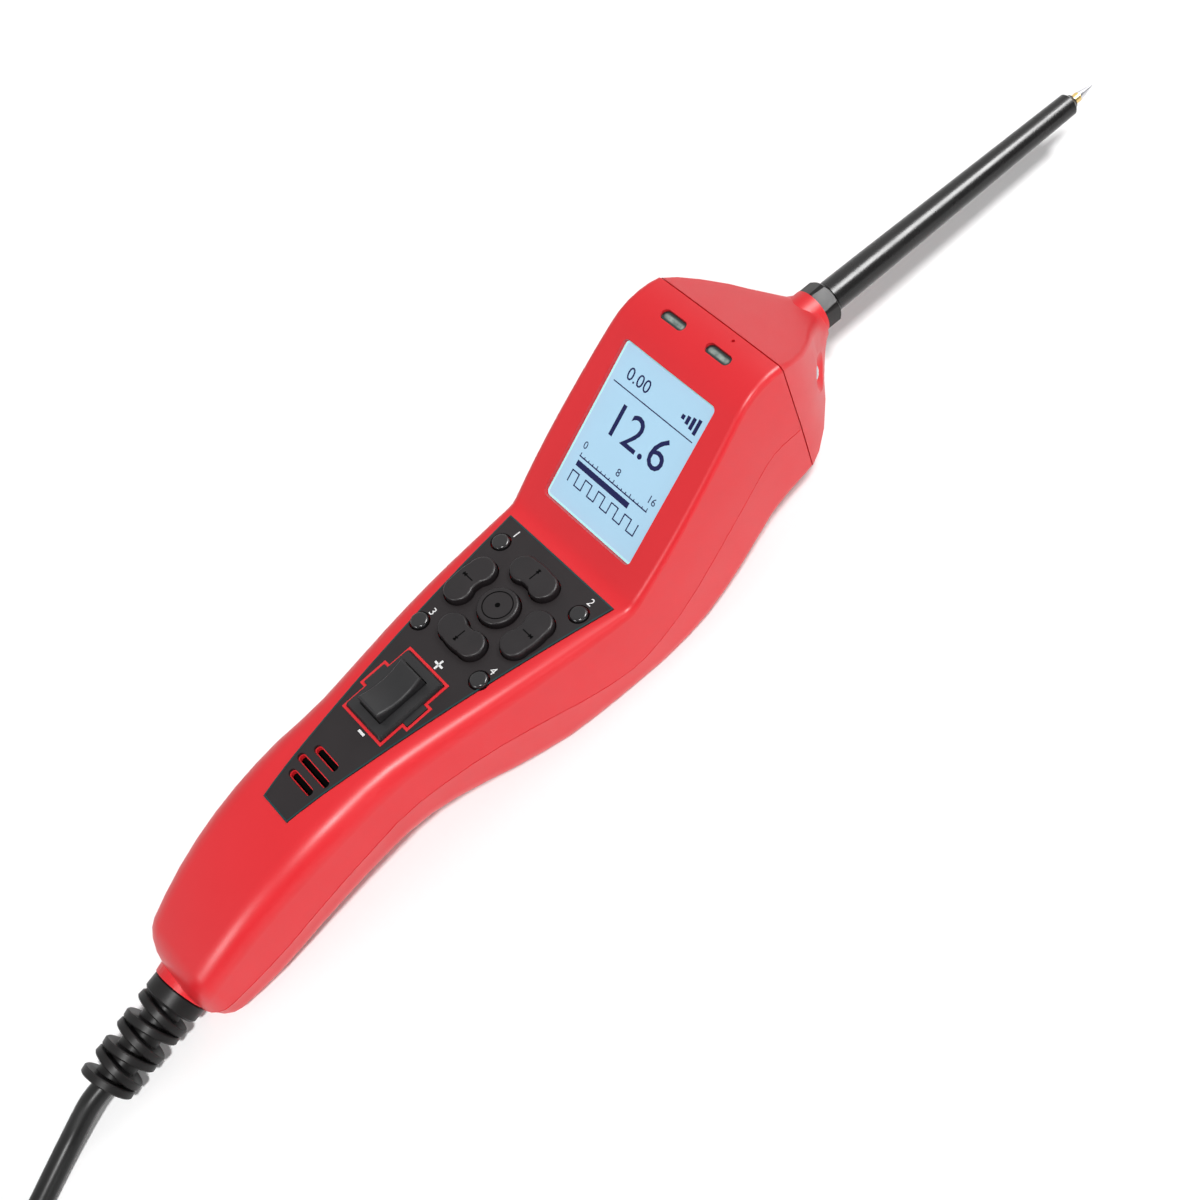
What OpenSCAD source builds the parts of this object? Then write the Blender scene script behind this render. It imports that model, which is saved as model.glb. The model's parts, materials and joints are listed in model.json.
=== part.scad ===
// Hand-held automotive circuit tester with a colour display, a keypad, a rocker switch and a long probe.
// The housing is two moulded half shells that meet at a curved parting line, and a one-piece nose cover.
// The design frame has its origin at the mode key, +X towards the probe, +Z out of the keypad.
// lying() turns that frame into the one in which the tester lies on a table, on its belly and its tail.

/* [Housing] */
// Half the width of the head at its widest
head_half = 25.3; // [24:0.1:26]
// Half the width of the grip at its narrowest
grip_half = 17.6; // [16.6:0.1:18]
// Distance from the mode key forward to the nose seam
seam_x = 86; // [85:0.5:87]
// Distance from the mode key back to the tail end
tail_len = 123.5; // [121:0.5:125]
// Height of the top line above the mode key at the crest of the grip
grip_crest = 4.9; // [4.5:0.1:5.3]
// Depth of the belly below the mode key
belly_depth = 39.6; // [39:0.1:40.5]
// Slope of the display face
display_tilt = 32.7; // [31:0.1:34]
// Wall thickness of the shells
wall = 2.2; // [2:0.1:2.6]
// Length of the nose cover
nose_len = 26; // [25:0.5:27]

/* [Display and keypad] */
// Width of the display window
window_w = 34.3; // [33:0.1:35]
// Height of the display window
window_h = 46.4; // [45:0.1:47]
// Half the width of the keypad overlay at its front edge
overlay_front = 21.2; // [20.6:0.1:21.6]
// Half the width of the keypad overlay at its back edge
overlay_back = 5.25; // [5:0.05:6]
// Radius of the round mode key
mode_key_r = 5.6; // [5.2:0.1:5.8]
// Inner radius of the ring of arrow keys
arrow_in = 8.5; // [8.3:0.1:9]
// Outer radius of the ring of arrow keys
arrow_out = 16.4; // [15.8:0.1:16.8]
// Radius of the four small buttons
button_r = 2.5; // [2.2:0.1:2.7]
// How far the keys and buttons travel
key_travel = 0.8; // [0.5:0.1:0.9]

/* [Rocker switch] */
// Length of the rocker bezel
bezel_l = 21; // [20.4:0.1:21.4]
// Width of the rocker bezel
bezel_w = 15; // [14.6:0.1:15.4]
// Length of the opening for the rocker
rocker_l = 15.4; // [15:0.1:16]
// Width of the opening for the rocker
rocker_w = 8.9; // [8.5:0.1:9.5]

/* [Probe] */
// Width across flats of the hexagon collar
collar_af = 11.2; // [10.6:0.1:11.8]
// Length of the insulating sleeve
sleeve_l = 91.5; // [80:0.5:110]
// Radius of the sleeve at the collar
sleeve_r = 4.4; // [4:0.1:4.8]
// Radius of the sleeve at its tip end
sleeve_tip_r = 3.2; // [2.8:0.1:3.6]
// Radius of the metal probe rod
rod_r = 1.35; // [1.2:0.05:1.6]
// Length of the bare metal point
point_l = 8.2; // [5:0.1:12]

/* [Power lead] */
// Diameter of the power lead
lead_d = 6; // [5.5:0.1:6.5]
// Radius of the strain relief at the housing
relief_r = 7.9; // [7.5:0.1:8.2]
// Radius of the strain relief at its free end
relief_end_r = 7.2; // [6.6:0.1:7.5]
// Number of rings on the strain relief
relief_rings = 7; // [6:1:8]

/* [Hidden] */
red = [0.86, 0.16, 0.20];
charcoal = [0.20, 0.19, 0.20];
black = [0.07, 0.07, 0.08];
eps = 0.01;

// Resting place: the design frame is turned nose up by rest_tilt and lifted until the belly touches z = 0.
rest_tilt = 0.8;
tail_x = -tail_len;
function ground(x) = -belly_depth - tan(rest_tilt) * x;
rest_lift = belly_depth * cos(rest_tilt);

// Smooth curve through a few [x, value] points, with the slope at each point taken from its neighbours.
function span_at(p, x, i = 0) = i >= len(p) - 2 || x < p[i + 1][0] ? i : span_at(p, x, i + 1);
function slope_at(p, i) = let (a = max(i - 1, 0), b = min(i + 1, len(p) - 1))
    (p[b][1] - p[a][1]) / (p[b][0] - p[a][0]);
function curve(p, x) = let (i = span_at(p, x), h = p[i + 1][0] - p[i][0], t = (x - p[i][0]) / h)
    (2 * t^3 - 3 * t^2 + 1) * p[i][1] + (t^3 - 2 * t^2 + t) * h * slope_at(p, i)
    + (3 * t^2 - 2 * t^3) * p[i + 1][1] + (t^3 - t^2) * h * slope_at(p, i + 1);

// Top line: a long arch over the grip, a tighter arch to the tail, the display face, and a rounded crest.
arch_x = -60;
arch_front_r = 442;
arch_tail_r = 98;
display_x = 29.9;
display_z = 1.4;
crest_x = 70;
crest_r = 18;
fold_soft = 1;
function arch(x) = grip_crest - (x - arch_x)^2 / (2 * (x > arch_x ? arch_front_r : arch_tail_r));
function display_line(x) = display_z + tan(display_tilt) * (x - display_x);
function crest(x) = display_line(crest_x) - crest_r * cos(display_tilt)
    + sqrt(crest_r^2 - (x - crest_x - crest_r * sin(display_tilt))^2);
function soft_max(a, b) = (a + b + sqrt((a - b)^2 + fold_soft^2)) / 2;
function top_line(x) = x > crest_x ? crest(x) : soft_max(arch(x), display_line(x));

// Bottom line, parting line and half-width, each through the few points that its shape needs.
bottom_points = [[tail_x, ground(tail_x) - 0.3], [-105, -35.6], [-85, -30.3], [-62, -27], [-40, -29.6],
    [-20, -36.2], [-2, -belly_depth - 0.5], [14, -belly_depth - 0.9], [28, -39.4], [42, -36.4],
    [56, -30.2], [70, -22.8], [seam_x, -20.4]];
parting_points = [[tail_x, -27], [-100, -21.4], [-80, -15.4], [-62, -12], [-45, -11.4], [-25, -13],
    [-10, -17], [5, -22.4], [18, -24.8], [33, -20.3], [48, -12.1], [66, -2.2], [76, 2.1], [seam_x, 0.8]];
width_points = [[tail_x, 14], [-108, 15.8], [-95, 16.9], [-80, 17.6], [-64, grip_half + 0.3],
    [-50, grip_half], [-35, 19.3], [-20, 21.4], [-5, 23.2], [8, 24.3], [22, 24.9], [40, head_half],
    [60, 24.4], [75, 23.1], [seam_x, 22.2]];
shoulder_points = [[tail_x, 6], [-74, 6.8], [-50, 6.2], [-20, 5], [10, 3.6], [20, 2.6], [30, 2], [seam_x, 1.8]];
belly_edge_points = [[tail_x, 7], [-60, 9], [0, 9], [45, 6.5], [seam_x, 3]];
taper_points = [[tail_x, -0.6], [0, -0.6], [30, 0.2], [seam_x, 0.8]];

// Rounding of the tail end: how far a section shrinks at distance d from the end face.
end_r = 7;
function end_inset(d, r) = d >= r ? 0 : r - sqrt(max(r^2 - (r - d)^2, 0));

// Each half stands back by this much at its outer edge, which leaves a fine groove along the parting line.
groove = 0.15;

// Number of pieces in each half of a section: side wall, rounded shoulder and crown.
arc_steps = 6;
crown_steps = 3;
crown = 0.35;

// One half-section path in a plane of constant x, from the parting line on the left over the middle to the
// one on the right. way is 1 for the upper half and -1 for the lower; inside is the wall taken off.
function half_path(x, way, inside, x_body) = let (
    shrink = end_inset(x - (tail_x + inside), end_r - inside),
    zp = curve(parting_points, x_body),
    wp = curve(width_points, x_body) - inside - shrink * 0.9,
    edge = (way > 0 ? top_line(x_body) : max(curve(bottom_points, x_body), ground(x_body))) - way * (inside + shrink),
    wt = wp + (way > 0 ? curve(taper_points, x_body) : -1.1),
    tall = abs(edge - zp),
    r = min((way > 0 ? curve(shoulder_points, x_body) : curve(belly_edge_points, x_body)) - inside * 0.6,
        tall - 0.8, wt - 0.8),
    side = concat([[wp, inside > 0 ? zp : zp + way * groove]],
        [for (k = [0 : arc_steps]) let (a = 90 * k / arc_steps) [wt - r + r * cos(a), edge - way * (r - r * sin(a))]],
        [for (k = [1 : crown_steps]) let (f = 1 - k / crown_steps)
            [(wt - r) * f, edge + (way > 0 ? crown * (1 - f^2) : 0)]]))
    concat(side, [for (k = [len(side) - 2 : -1 : 0]) [-side[k][0], side[k][1]]]);

stations = concat([for (a = [0 : 18 : 90]) tail_x + end_r * (1 - cos(a))],
    [for (x = [tail_x + end_r + 6 : 7.9 : 17]) x], [for (x = [19.5 : 1.8 : 28.6]) x],
    [for (x = [34 : 7.2 : 64]) x], [for (k = [0 : 5]) 69.5 + (seam_x - 69.5) * k / 5]);

// Faces of a shell whose outer and inner skins have the same rings: the first ring closes the tail.
function strip(a, b, n) = [for (j = [0 : n - 2]) each [[a + j, a + j + 1, b + j + 1], [a + j, b + j + 1, b + j]]];
function flip(faces) = [for (f = faces) [f[2], f[1], f[0]]];
function fan(a, n) = [for (j = [1 : n - 2]) [a, a + j, a + j + 1]];

module half_shell(way) {
    count = len(stations);
    outer = [for (x = stations) [for (p = half_path(x, way, 0, x)) [x, p[0], p[1]]]];
    inner = [for (x = stations) let (xi = tail_x + wall + (x - tail_x) * (seam_x - tail_x - wall) / (seam_x - tail_x))
        [for (p = half_path(xi, way, wall, xi)) [xi, p[0], p[1]]]];
    n = len(outer[0]);
    points = concat([for (ring = outer) each ring], [for (ring = inner) each ring]);
    base = count * n;
    skin = [for (i = [0 : count - 2]) each strip(i * n, (i + 1) * n, n)];
    lining = [for (i = [0 : count - 2]) each strip(base + i * n, base + (i + 1) * n, n)];
    mouth = strip((count - 1) * n, base + (count - 1) * n, n);
    rim_left = [for (i = [0 : count - 2]) let (a = i * n, b = a + n)
        each [[a, b, base + b], [a, base + b, base + a]]];
    rim_right = [for (i = [0 : count - 2]) let (a = i * n + n - 1, b = a + n)
        each [[b, a, base + b], [a, base + a, base + b]]];
    rim_tail = [[0, base, n - 1], [base, base + n - 1, n - 1]];
    faces = concat(skin, flip(lining), mouth, flip(fan(0, n)), fan(base, n), rim_left, rim_right, rim_tail);
    polyhedron(points, way > 0 ? flip(faces) : faces, convexity = 8);
}

// Places of the sub-assemblies.
module lying() { translate([rest_shift, 0, rest_lift]) rotate([0, -rest_tilt, 0]) children(); }
module on_arch(x) { translate([x, 0, arch(x)]) rotate([0, atan((x - arch_x) / arch_front_r), 0]) children(); }
module on_keypad() { on_arch(0) children(); }
module on_rocker() { on_arch(rocker_x) children(); }
module on_speaker() { on_arch(speaker_x) children(); }
window_c = display_x + window_h / 2 * cos(display_tilt);
module on_display() { translate([window_c, 0, display_line(window_c)]) rotate([0, -display_tilt, 0]) children(); }
probe_dip = 6.8;
probe_from = [112.2, 0, 3.2];
module on_probe() { translate(probe_from) rotate([0, 90 + probe_dip, 0]) children(); }
relief_from = [-124.6, 0, -27.3];
relief_yaw = 7.5;
relief_dip = 4;
relief_pitch = 4.2;
relief_flange = 5;
relief_ring = 2;
relief_l = relief_flange + relief_pitch * (relief_rings - 1);
relief_dir = [-cos(relief_dip) * cos(relief_yaw), -cos(relief_dip) * sin(relief_yaw), -sin(relief_dip)];
module on_relief() { translate(relief_from) rotate([0, 0, relief_yaw]) rotate([0, -90 - relief_dip, 0]) children(); }

// The tester's own length, from the rim of the strain relief to the tip of the probe, is centred on the origin.
collar_l = 5.3;
gold_l = 2.4;
probe_l = collar_l + sleeve_l + point_l;
function turned(p) = [p[0] * cos(rest_tilt) - p[2] * sin(rest_tilt), p[1], p[0] * sin(rest_tilt) + p[2] * cos(rest_tilt)];
tip = turned(probe_from + probe_l * [cos(probe_dip), 0, -sin(probe_dip)]);
relief_end = turned(relief_from + relief_l * relief_dir);
relief_out = turned(relief_dir);
back_end = relief_end[0] - relief_end_r * sqrt(1 - relief_out[0]^2);
rest_shift = -(tip[0] + back_end) / 2;

// Plain shapes that repeat.
module plate(l, w, t, r) {
    linear_extrude(t) {
        square([l - 2 * r, w], center = true);
        square([l, w - 2 * r], center = true);
        for (sx = [-1, 1], sy = [-1, 1]) translate([sx * (l / 2 - r), sy * (w / 2 - r)]) circle(r, $fn = 48);
    }
}
module obround(l, w, t) {
    linear_extrude(t) {
        square([w, l - w], center = true);
        for (s = [-1, 1]) translate([0, s * (l - w) / 2]) circle(d = w, $fn = 48);
    }
}
// Edge profile from the axis out to r and up to h, with its top edge rounded.
function cap_profile(r, low, h, round) = concat([[0, low], [r, low]],
    [for (a = [0 : 22.5 : 90]) [r - round + round * cos(a), h - round + round * sin(a)]], [[0, h]]);
module cap(r, low, h, round) { rotate_extrude($fn = 64) polygon(cap_profile(r, low, h, round)); }
module screw(head_r, head_h, shaft_r, shaft_l) {
    translate([0, 0, -head_h]) cylinder(r = head_r, h = head_h, $fn = 32);
    translate([0, 0, -0.5]) cylinder(r = shaft_r, h = shaft_l + 0.5, $fn = 24);
}

// Nose cover: closed rings from the seam to the front ring.
nose_top = [[0, 28.86], [23.5, 8.9], [nose_len, 8.4]];
nose_bottom = [[0, -20.4], [6, -17], [12, -12.5], [18, -7.8], [23, -4.2], [nose_len, -3.4]];
nose_half = [[0, 22.8], [4, 21.6], [8.6, 19.3], [13.8, 15.3], [16.8, 12.3], [20, 9.7], [23, 7.8], [nose_len, 6.5]];
nose_corner = [[0, 1.8], [3, 1.2], [14, 1.6], [20, 3], [23, 4.6], [nose_len, 5.8]];
nose_parting = [[0, 0.8], [nose_len, 2.6]];
nose_inset = [[0, 1.9], [12, 1.2], [nose_len, 0.1]];
function nose_ring(d, inside) = let (
    top = lookup(d, nose_top) - inside,
    low = lookup(d, nose_bottom) + inside,
    zp = lookup(d, nose_parting),
    wt = lookup(d, nose_half) - inside,
    wp = wt - lookup(d, [[0, 0.7], [nose_len, 0]]),
    wb = wt - lookup(d, nose_inset),
    r = max(lookup(d, nose_corner) - inside * 0.6, 0.8),
    bow = lookup(d, [[0, crown], [nose_len, 0]]),
    right = concat([[wp, zp]],
        [for (a = [0 : 18 : 90]) [wt - r + r * cos(a), top - r + r * sin(a)]],
        [[(wt - r) / 2, top + bow * 0.75], [0, top + bow]]),
    right_low = [for (a = [90 : -18 : 0]) [wb - r + r * cos(a), low + r - r * sin(a)]])
    concat([for (p = right) p], [for (k = [len(right) - 2 : -1 : 0]) [-right[k][0], right[k][1]]],
        [for (k = [len(right_low) - 1 : -1 : 0]) [-right_low[k][0], right_low[k][1]]], right_low);
seam_gap = 0.5;
nose_steps = [0, 4, 8.6, 13.8, 16.8, 20, 22, 23.5, 25];
module loft(rings) {
    n = len(rings[0]);
    last = (len(rings) - 1) * n;
    sides = [for (i = [0 : len(rings) - 2], j = [0 : n - 1]) let (a = i * n + j, b = i * n + (j + 1) % n)
        each [[a, b, b + n], [a, b + n, a + n]]];
    polyhedron([for (ring = rings) each ring], concat(sides, flip(fan(0, n)), fan(last, n)), convexity = 6);
}
module nose_body(inside, from, to) {
    steps = concat([from], [for (d = nose_steps) if (d > from && d < to) d], [to]);
    loft([for (d = steps) [for (p = nose_ring(max(d, 0), inside)) [seam_x + d, -p[0], p[1]]]]);
}
// The nose meets the covers with the inner part of its wall, so a groove is left round the seam.
module nose_outside() {
    steps = concat([[0, 1], [seam_gap, 1], [seam_gap, 0]], [for (d = nose_steps) if (d > seam_gap) [d, 0]]);
    loft([for (s = steps) [for (p = nose_ring(s[0], s[1])) [seam_x + s[0], -p[0], p[1]]]]);
}

// Keypad layout, in the plane of the cover over the mode key.
rocker_x = -33.9;
speaker_x = -61;
key_gap = 0.35;
lobe_r = (arrow_out - arrow_in) / 2;
arrow_mid = (arrow_out + arrow_in) / 2;
lobe_turn = 18;
waist = 0.35;
button_at = [[13.2, 16.1], [13.2, -16.1], [-16.5, 12.6], [-16.5, -12.6]];
flange = 0.8;
flange_top = -3;
flange_low = -3.7;
key_top = 2.5;
button_top = 1;
board_top = flange_low - key_travel - 0.6;
board_t = 1.6;
board_boss = [[19, 10], [19, -10], [-20, 7.5], [-20, -7.5]];
slit_at = [[-56.7, 8.8], [speaker_x, 12.2], [-65.2, 9]];
slit_w = 1.7;

module arrow_plan(turn, grow) {
    rotate(turn) {
        for (a = [-lobe_turn, lobe_turn]) rotate(a) translate([arrow_mid, 0]) circle(lobe_r + grow, $fn = 48);
        intersection() {
            difference() {
                circle(arrow_out - waist + grow, $fn = 96);
                circle(arrow_in + waist - grow, $fn = 96);
            }
            polygon([[0, 0], [30, -30 * tan(lobe_turn)], [30, 30 * tan(lobe_turn)]]);
        }
    }
}
module arrow_key(turn) {
    r = lobe_r - waist;
    color(charcoal) lying() on_keypad() {
        rotate(turn) {
            for (a = [-lobe_turn, lobe_turn]) rotate(a) translate([arrow_mid, 0, 0]) cap(lobe_r, flange_low, key_top, 0.7);
            rotate(-lobe_turn) rotate_extrude(angle = 2 * lobe_turn, $fn = 96) translate([arrow_mid, 0])
                polygon(concat([[-r, flange_low], [r, flange_low]],
                    [for (a = [0 : 22.5 : 90]) [r - 0.7 + 0.7 * cos(a), key_top - 0.7 + 0.7 * sin(a)]],
                    [for (a = [90 : 22.5 : 180]) [0.7 - r + 0.7 * cos(a), key_top - 0.7 + 0.7 * sin(a)]]));
        }
        translate([0, 0, flange_low]) linear_extrude(flange_top - flange_low) arrow_plan(turn, flange);
    }
}
module small_button(i) {
    color(black) lying() on_keypad() translate(button_at[i]) {
        cap(button_r, flange_low, button_top, 0.8);
        translate([0, 0, flange_low]) cylinder(r = button_r + flange, h = flange_top - flange_low, $fn = 48);
    }
}
// Slab that follows the top line of the grip, from height a to height b above it, cut to the overlay's outline.
module arch_slab(a, b, grow) {
    front = 20.3 + grow;
    back = -74.3 - grow;
    xs = [for (k = [0 : 16]) -75 + 6 * k];
    intersection() {
        rotate([90, 0, 0]) linear_extrude(60, center = true)
            polygon(concat([for (x = xs) [x, top_line(x) + a]], [for (k = [16 : -1 : 0]) [xs[k], top_line(xs[k]) + b]]));
        translate([0, 0, -20]) linear_extrude(40)
            polygon([[front, overlay_front + grow], [back, overlay_back + grow],
                [back, -overlay_back - grow], [front, -overlay_front - grow]]);
    }
}
module slits(grow, depth) {
    for (s = slit_at) on_arch(s[0]) translate([0, 0, -depth]) obround(s[1] + 2 * grow, slit_w + 2 * grow, depth + 3);
}
module key_holes(gap, low) {
    translate([0, 0, low]) linear_extrude(8 - low) for (turn = [0, 90, 180, 270]) arrow_plan(turn, gap);
    translate([0, 0, low]) cylinder(r = mode_key_r + gap, h = 8 - low, $fn = 64);
    for (p = button_at) translate([p[0], p[1], low]) cylinder(r = button_r + gap, h = 8 - low, $fn = 48);
}

// Screws that close the housing: places, and the heights where the bosses of the two halves meet.
screw_at = [[80.5, 16], [80.5, -16], [-88, 7.5], [-88, -7.5]];
function boss_meet(p) = p[0] > 0 ? 0.9 : -19.4;
function boss_roof(p) = p[0] > 0 ? 28.4 : -0.6;
function boss_floor(p) = p[0] > 0 ? -19.2 : -29.3;
function head_seat(p) = p[0] > 0 ? -9 : -24.5;

// Cord boss on the tail end. Each half shell keeps its own half of it, a hair off the parting surface.
boss_l = 7.2;
module tail_boss() { on_relief() translate([0, 0, -boss_l]) cylinder(r1 = 8.9, r2 = 8.2, h = boss_l, $fn = 64); }
module tail_cut(way) {
    xs = [for (k = [0 : 9]) tail_x + k];
    rotate([90, 0, 0]) linear_extrude(60, center = true)
        polygon(concat([[-140, -27 + way * 0.2]], [for (x = xs) [x, curve(parting_points, x) + way * 0.2]],
            [[xs[9], -27 - way * 40], [-140, -27 - way * 40]]));
}
module relief_hole() { on_relief() translate([0, 0, -boss_l - 2]) cylinder(r = 5.8, h = 14, $fn = 64); }
module seat_ring(r_out, r_in, top, low) {
    translate([0, 0, low]) difference() {
        cylinder(r = r_out, h = top - low, $fn = 96);
        translate([0, 0, -eps]) cylinder(r = r_in, h = top - low + 2 * eps, $fn = 96);
    }
}

module top_cover() {
    color(red) lying() difference() {
        union() {
            half_shell(1);
            tail_boss();
            on_keypad() for (p = board_boss) translate([p[0], p[1], board_top]) cylinder(r = 2, h = -board_top - 1.3, $fn = 32);
            on_display() for (s = [-1, 1]) translate([-27.5, s * 15, -11.4]) cylinder(r = 2, h = 10, $fn = 32);
            on_speaker() seat_ring(11.4, speaker_r + 0.05, -1.3, -5);
            for (p = screw_at) translate([p[0], p[1], boss_meet(p) + 0.1])
                cylinder(r = 2.8, h = boss_roof(p) - boss_meet(p) - 0.1, $fn = 32);
        }
        tail_cut(1);
        arch_slab(-0.6, 6, 0.05);
        on_keypad() key_holes(key_gap, -6);
        on_keypad() for (p = board_boss) translate([p[0], p[1], board_top - 1]) cylinder(r = 0.95, h = 4.5, $fn = 24);
        on_display() for (s = [-1, 1]) translate([-27.5, s * 15, -12]) cylinder(r = 0.95, h = 8, $fn = 24);
        on_rocker() translate([0, 0, -0.1]) plate(22, 15.8, 8, 0.6);
        on_rocker() translate([0, 0, -6]) plate(switch_l + 0.1, switch_w + 0.1, 8, 0.4);
        slits(0, 6);
        on_display() translate([0, 0, -5]) plate(window_h, window_w, 10, 1.5);
        for (s = [-1, 1]) translate([light_x, s * light_y, 24]) obround(8.6, 3, 10);
        translate([83.9, -8.2, 28.4]) cylinder(r = 0.45, h = 4, $fn = 20);
        relief_hole();
        for (p = screw_at) translate([p[0], p[1], boss_meet(p) - 1]) cylinder(r = 1.3, h = 9.5, $fn = 24);
    }
}
module bottom_cover() {
    color(red) lying() difference() {
        union() {
            half_shell(-1);
            tail_boss();
            for (p = screw_at) translate([p[0], p[1], boss_floor(p)])
                cylinder(r = 3.6, h = boss_meet(p) - boss_floor(p) - 0.1, $fn = 32);
        }
        tail_cut(-1);
        relief_hole();
        for (p = screw_at) {
            translate([p[0], p[1], -50]) cylinder(r = 2.6, h = head_seat(p) + 50, $fn = 32);
            translate([p[0], p[1], -50]) cylinder(r = 1.4, h = 60, $fn = 24);
        }
    }
}
module nose_cover() {
    color(red) lying() difference() {
        union() {
            difference() {
                nose_outside();
                nose_body(wall + 1, -1, 20);
            }
            difference() {
                nose_body(wall + 0.15, -1.2, 3);
                nose_body(wall + 1, -2, 4);
            }
            on_probe() translate([0, 0, -14]) cylinder(r = 6.3, h = 14, $fn = 64);
        }
        on_probe() translate([0, 0, -20]) cylinder(r = socket_r + 0.02, h = 30, $fn = 64);
        for (s = [-1, 1]) on_work_light(s) {
            translate([0, 0, -8]) cylinder(r = 2.55, h = 12, $fn = 48);
            translate([0, 0, -1.5]) cylinder(r1 = 2.9, r2 = 8.7, h = 3, $fn = 48);
        }
    }
}
module housing_screws() {
    color([0.55, 0.55, 0.57]) lying() for (p = screw_at) translate([p[0], p[1], head_seat(p)])
        screw(2.4, 1.8, 1.25, boss_meet(p) + 7 - head_seat(p));
}

module keypad_overlay() {
    color([0.16, 0.15, 0.16]) lying() difference() {
        arch_slab(-0.6, 0.4, 0);
        on_keypad() key_holes(key_gap, -2);
        on_rocker() translate([0, 0, -2]) {
            plate(22, 15.8, 8, 0.6);
            translate([0.15, 0, 0]) plate(7.9, 20, 8, 0.6);
        }
        slits(0.3, 2);
    }
}
module key_mode() {
    color(charcoal) lying() on_keypad() {
        cap(mode_key_r, flange_low, key_top - 0.2, 0.7);
        translate([0, 0, flange_low]) cylinder(r = mode_key_r + 1, h = flange_top - flange_low, $fn = 64);
    }
}
module key_up() { arrow_key(0); }
module key_left() { arrow_key(90); }
module key_down() { arrow_key(180); }
module key_right() { arrow_key(270); }
module button_1() { small_button(0); }
module button_2() { small_button(1); }
module button_3() { small_button(2); }
module button_4() { small_button(3); }
module keypad_board() {
    color([0.10, 0.30, 0.16]) lying() on_keypad() difference() {
        translate([0, 0, board_top - board_t]) linear_extrude(board_t)
            polygon([[21.5, 14], [21.5, -14], [17.5, -19], [8, -19], [-22, -15.5], [-22, 15.5], [8, 19], [17.5, 19]]);
        for (p = board_boss) translate([p[0], p[1], board_top - 3]) cylinder(r = 1.1, h = 4, $fn = 24);
    }
}
module key_domes() {
    spots = concat([[0, 0]], [for (a = [0, 90, 180, 270]) [arrow_mid * cos(a), arrow_mid * sin(a)]], button_at);
    color([0.80, 0.80, 0.78]) lying() on_keypad() for (p = spots) translate([p[0], p[1], board_top])
        cylinder(r1 = 2.3, r2 = 1.2, h = 0.5, $fn = 32);
}

// Rocker switch: a snap-in housing and a rocker that turns on two pins.
switch_l = 19.2;
switch_w = 13;
pivot_z = 0.3;
pin_r = 1;
swing_r = 7.6;
rocker_end = 5.6;
rocker_mid = 3.8;
module rocker_housing() {
    color(black) lying() on_rocker() difference() {
        union() {
            hull() {
                translate([0, 0, -0.1]) plate(bezel_l, bezel_w, 1.3, 0.8);
                translate([0, 0, -0.1]) plate(bezel_l - 1, bezel_w - 1, 2.1, 0.6);
            }
            translate([0, 0, -11]) plate(switch_l, switch_w, 11, 0.4);
            translate([0.15, 0, -0.1]) plate(6.7, 18.6, 0.9, 0.3);
        }
        translate([0, 0, -8]) linear_extrude(12) square([rocker_l, rocker_w], center = true);
        translate([0, 0, pivot_z]) rotate([90, 0, 0]) cylinder(r = pin_r + 0.05, h = 11.4, center = true, $fn = 32);
    }
}
module rocker_actuator() {
    sag = rocker_end - rocker_mid;
    half = 7.2;
    dish_r = (half^2 + sag^2) / (2 * sag);
    dish = asin(half / dish_r);
    side = [for (k = [0 : 5]) let (a = -24 + k * 7.6) [swing_r * cos(a), pivot_z + swing_r * sin(a)]];
    top = [for (k = [0 : 14]) let (a = dish - 2 * dish * k / 14)
        [dish_r * sin(a), rocker_mid + dish_r * (1 - cos(a))]];
    outline = concat([[0, -4.5]], side, top, [for (k = [5 : -1 : 0]) [-side[k][0], side[k][1]]]);
    color(black) lying() on_rocker() {
        rotate([90, 0, 0]) linear_extrude(rocker_w - 0.4, center = true) polygon(outline);
        translate([0, 0, pivot_z]) rotate([90, 0, 0]) cylinder(r = pin_r, h = 11, center = true, $fn = 32);
    }
}
module rocker_terminals() {
    color([0.78, 0.66, 0.38]) lying() on_rocker() for (x = [-6, 0, 6], s = [-1, 1])
        translate([x - 0.4, s * 3.4 - 1.4, -16]) cube([0.8, 2.8, 5]);
}

// Display: a stepped window, the display module on four legs, and the main board under it.
module display_lens() {
    color([0.62, 0.80, 0.88]) lying() on_display() {
        translate([0, 0, -3.4]) plate(window_h + 3, window_w + 3, 1.2, 1.5);
        translate([0, 0, -2.3]) plate(window_h - 0.4, window_w - 0.4, 1.1, 1.3);
    }
}
module display_module() {
    color([0.75, 0.76, 0.78]) lying() on_display() {
        translate([0, 0, -7.6]) plate(50, 37, 4.2, 1);
        for (x = [-20, 18], s = [-1, 1]) translate([x, s * 15, -11.4]) cylinder(r = 1.5, h = 4, $fn = 24);
    }
}
module main_board() {
    color([0.10, 0.30, 0.16]) lying() on_display() difference() {
        translate([-4, 0, -13]) plate(52, 38, 1.6, 2);
        for (s = [-1, 1]) translate([-27.5, s * 15, -14]) cylinder(r = 1.1, h = 4, $fn = 24);
    }
}
module board_screws() {
    color([0.62, 0.62, 0.64]) lying() {
        on_keypad() for (p = board_boss) translate([p[0], p[1], board_top - board_t]) screw(1.8, 1.2, 0.9, 4.6);
        on_display() for (s = [-1, 1]) translate([-27.5, s * 15, -13]) screw(1.8, 1.2, 0.9, 7);
    }
}
module circuit_breaker() {
    color([0.14, 0.14, 0.15]) lying() on_display() translate([-14, 0, -27]) plate(20, 12, 14, 1);
}
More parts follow.
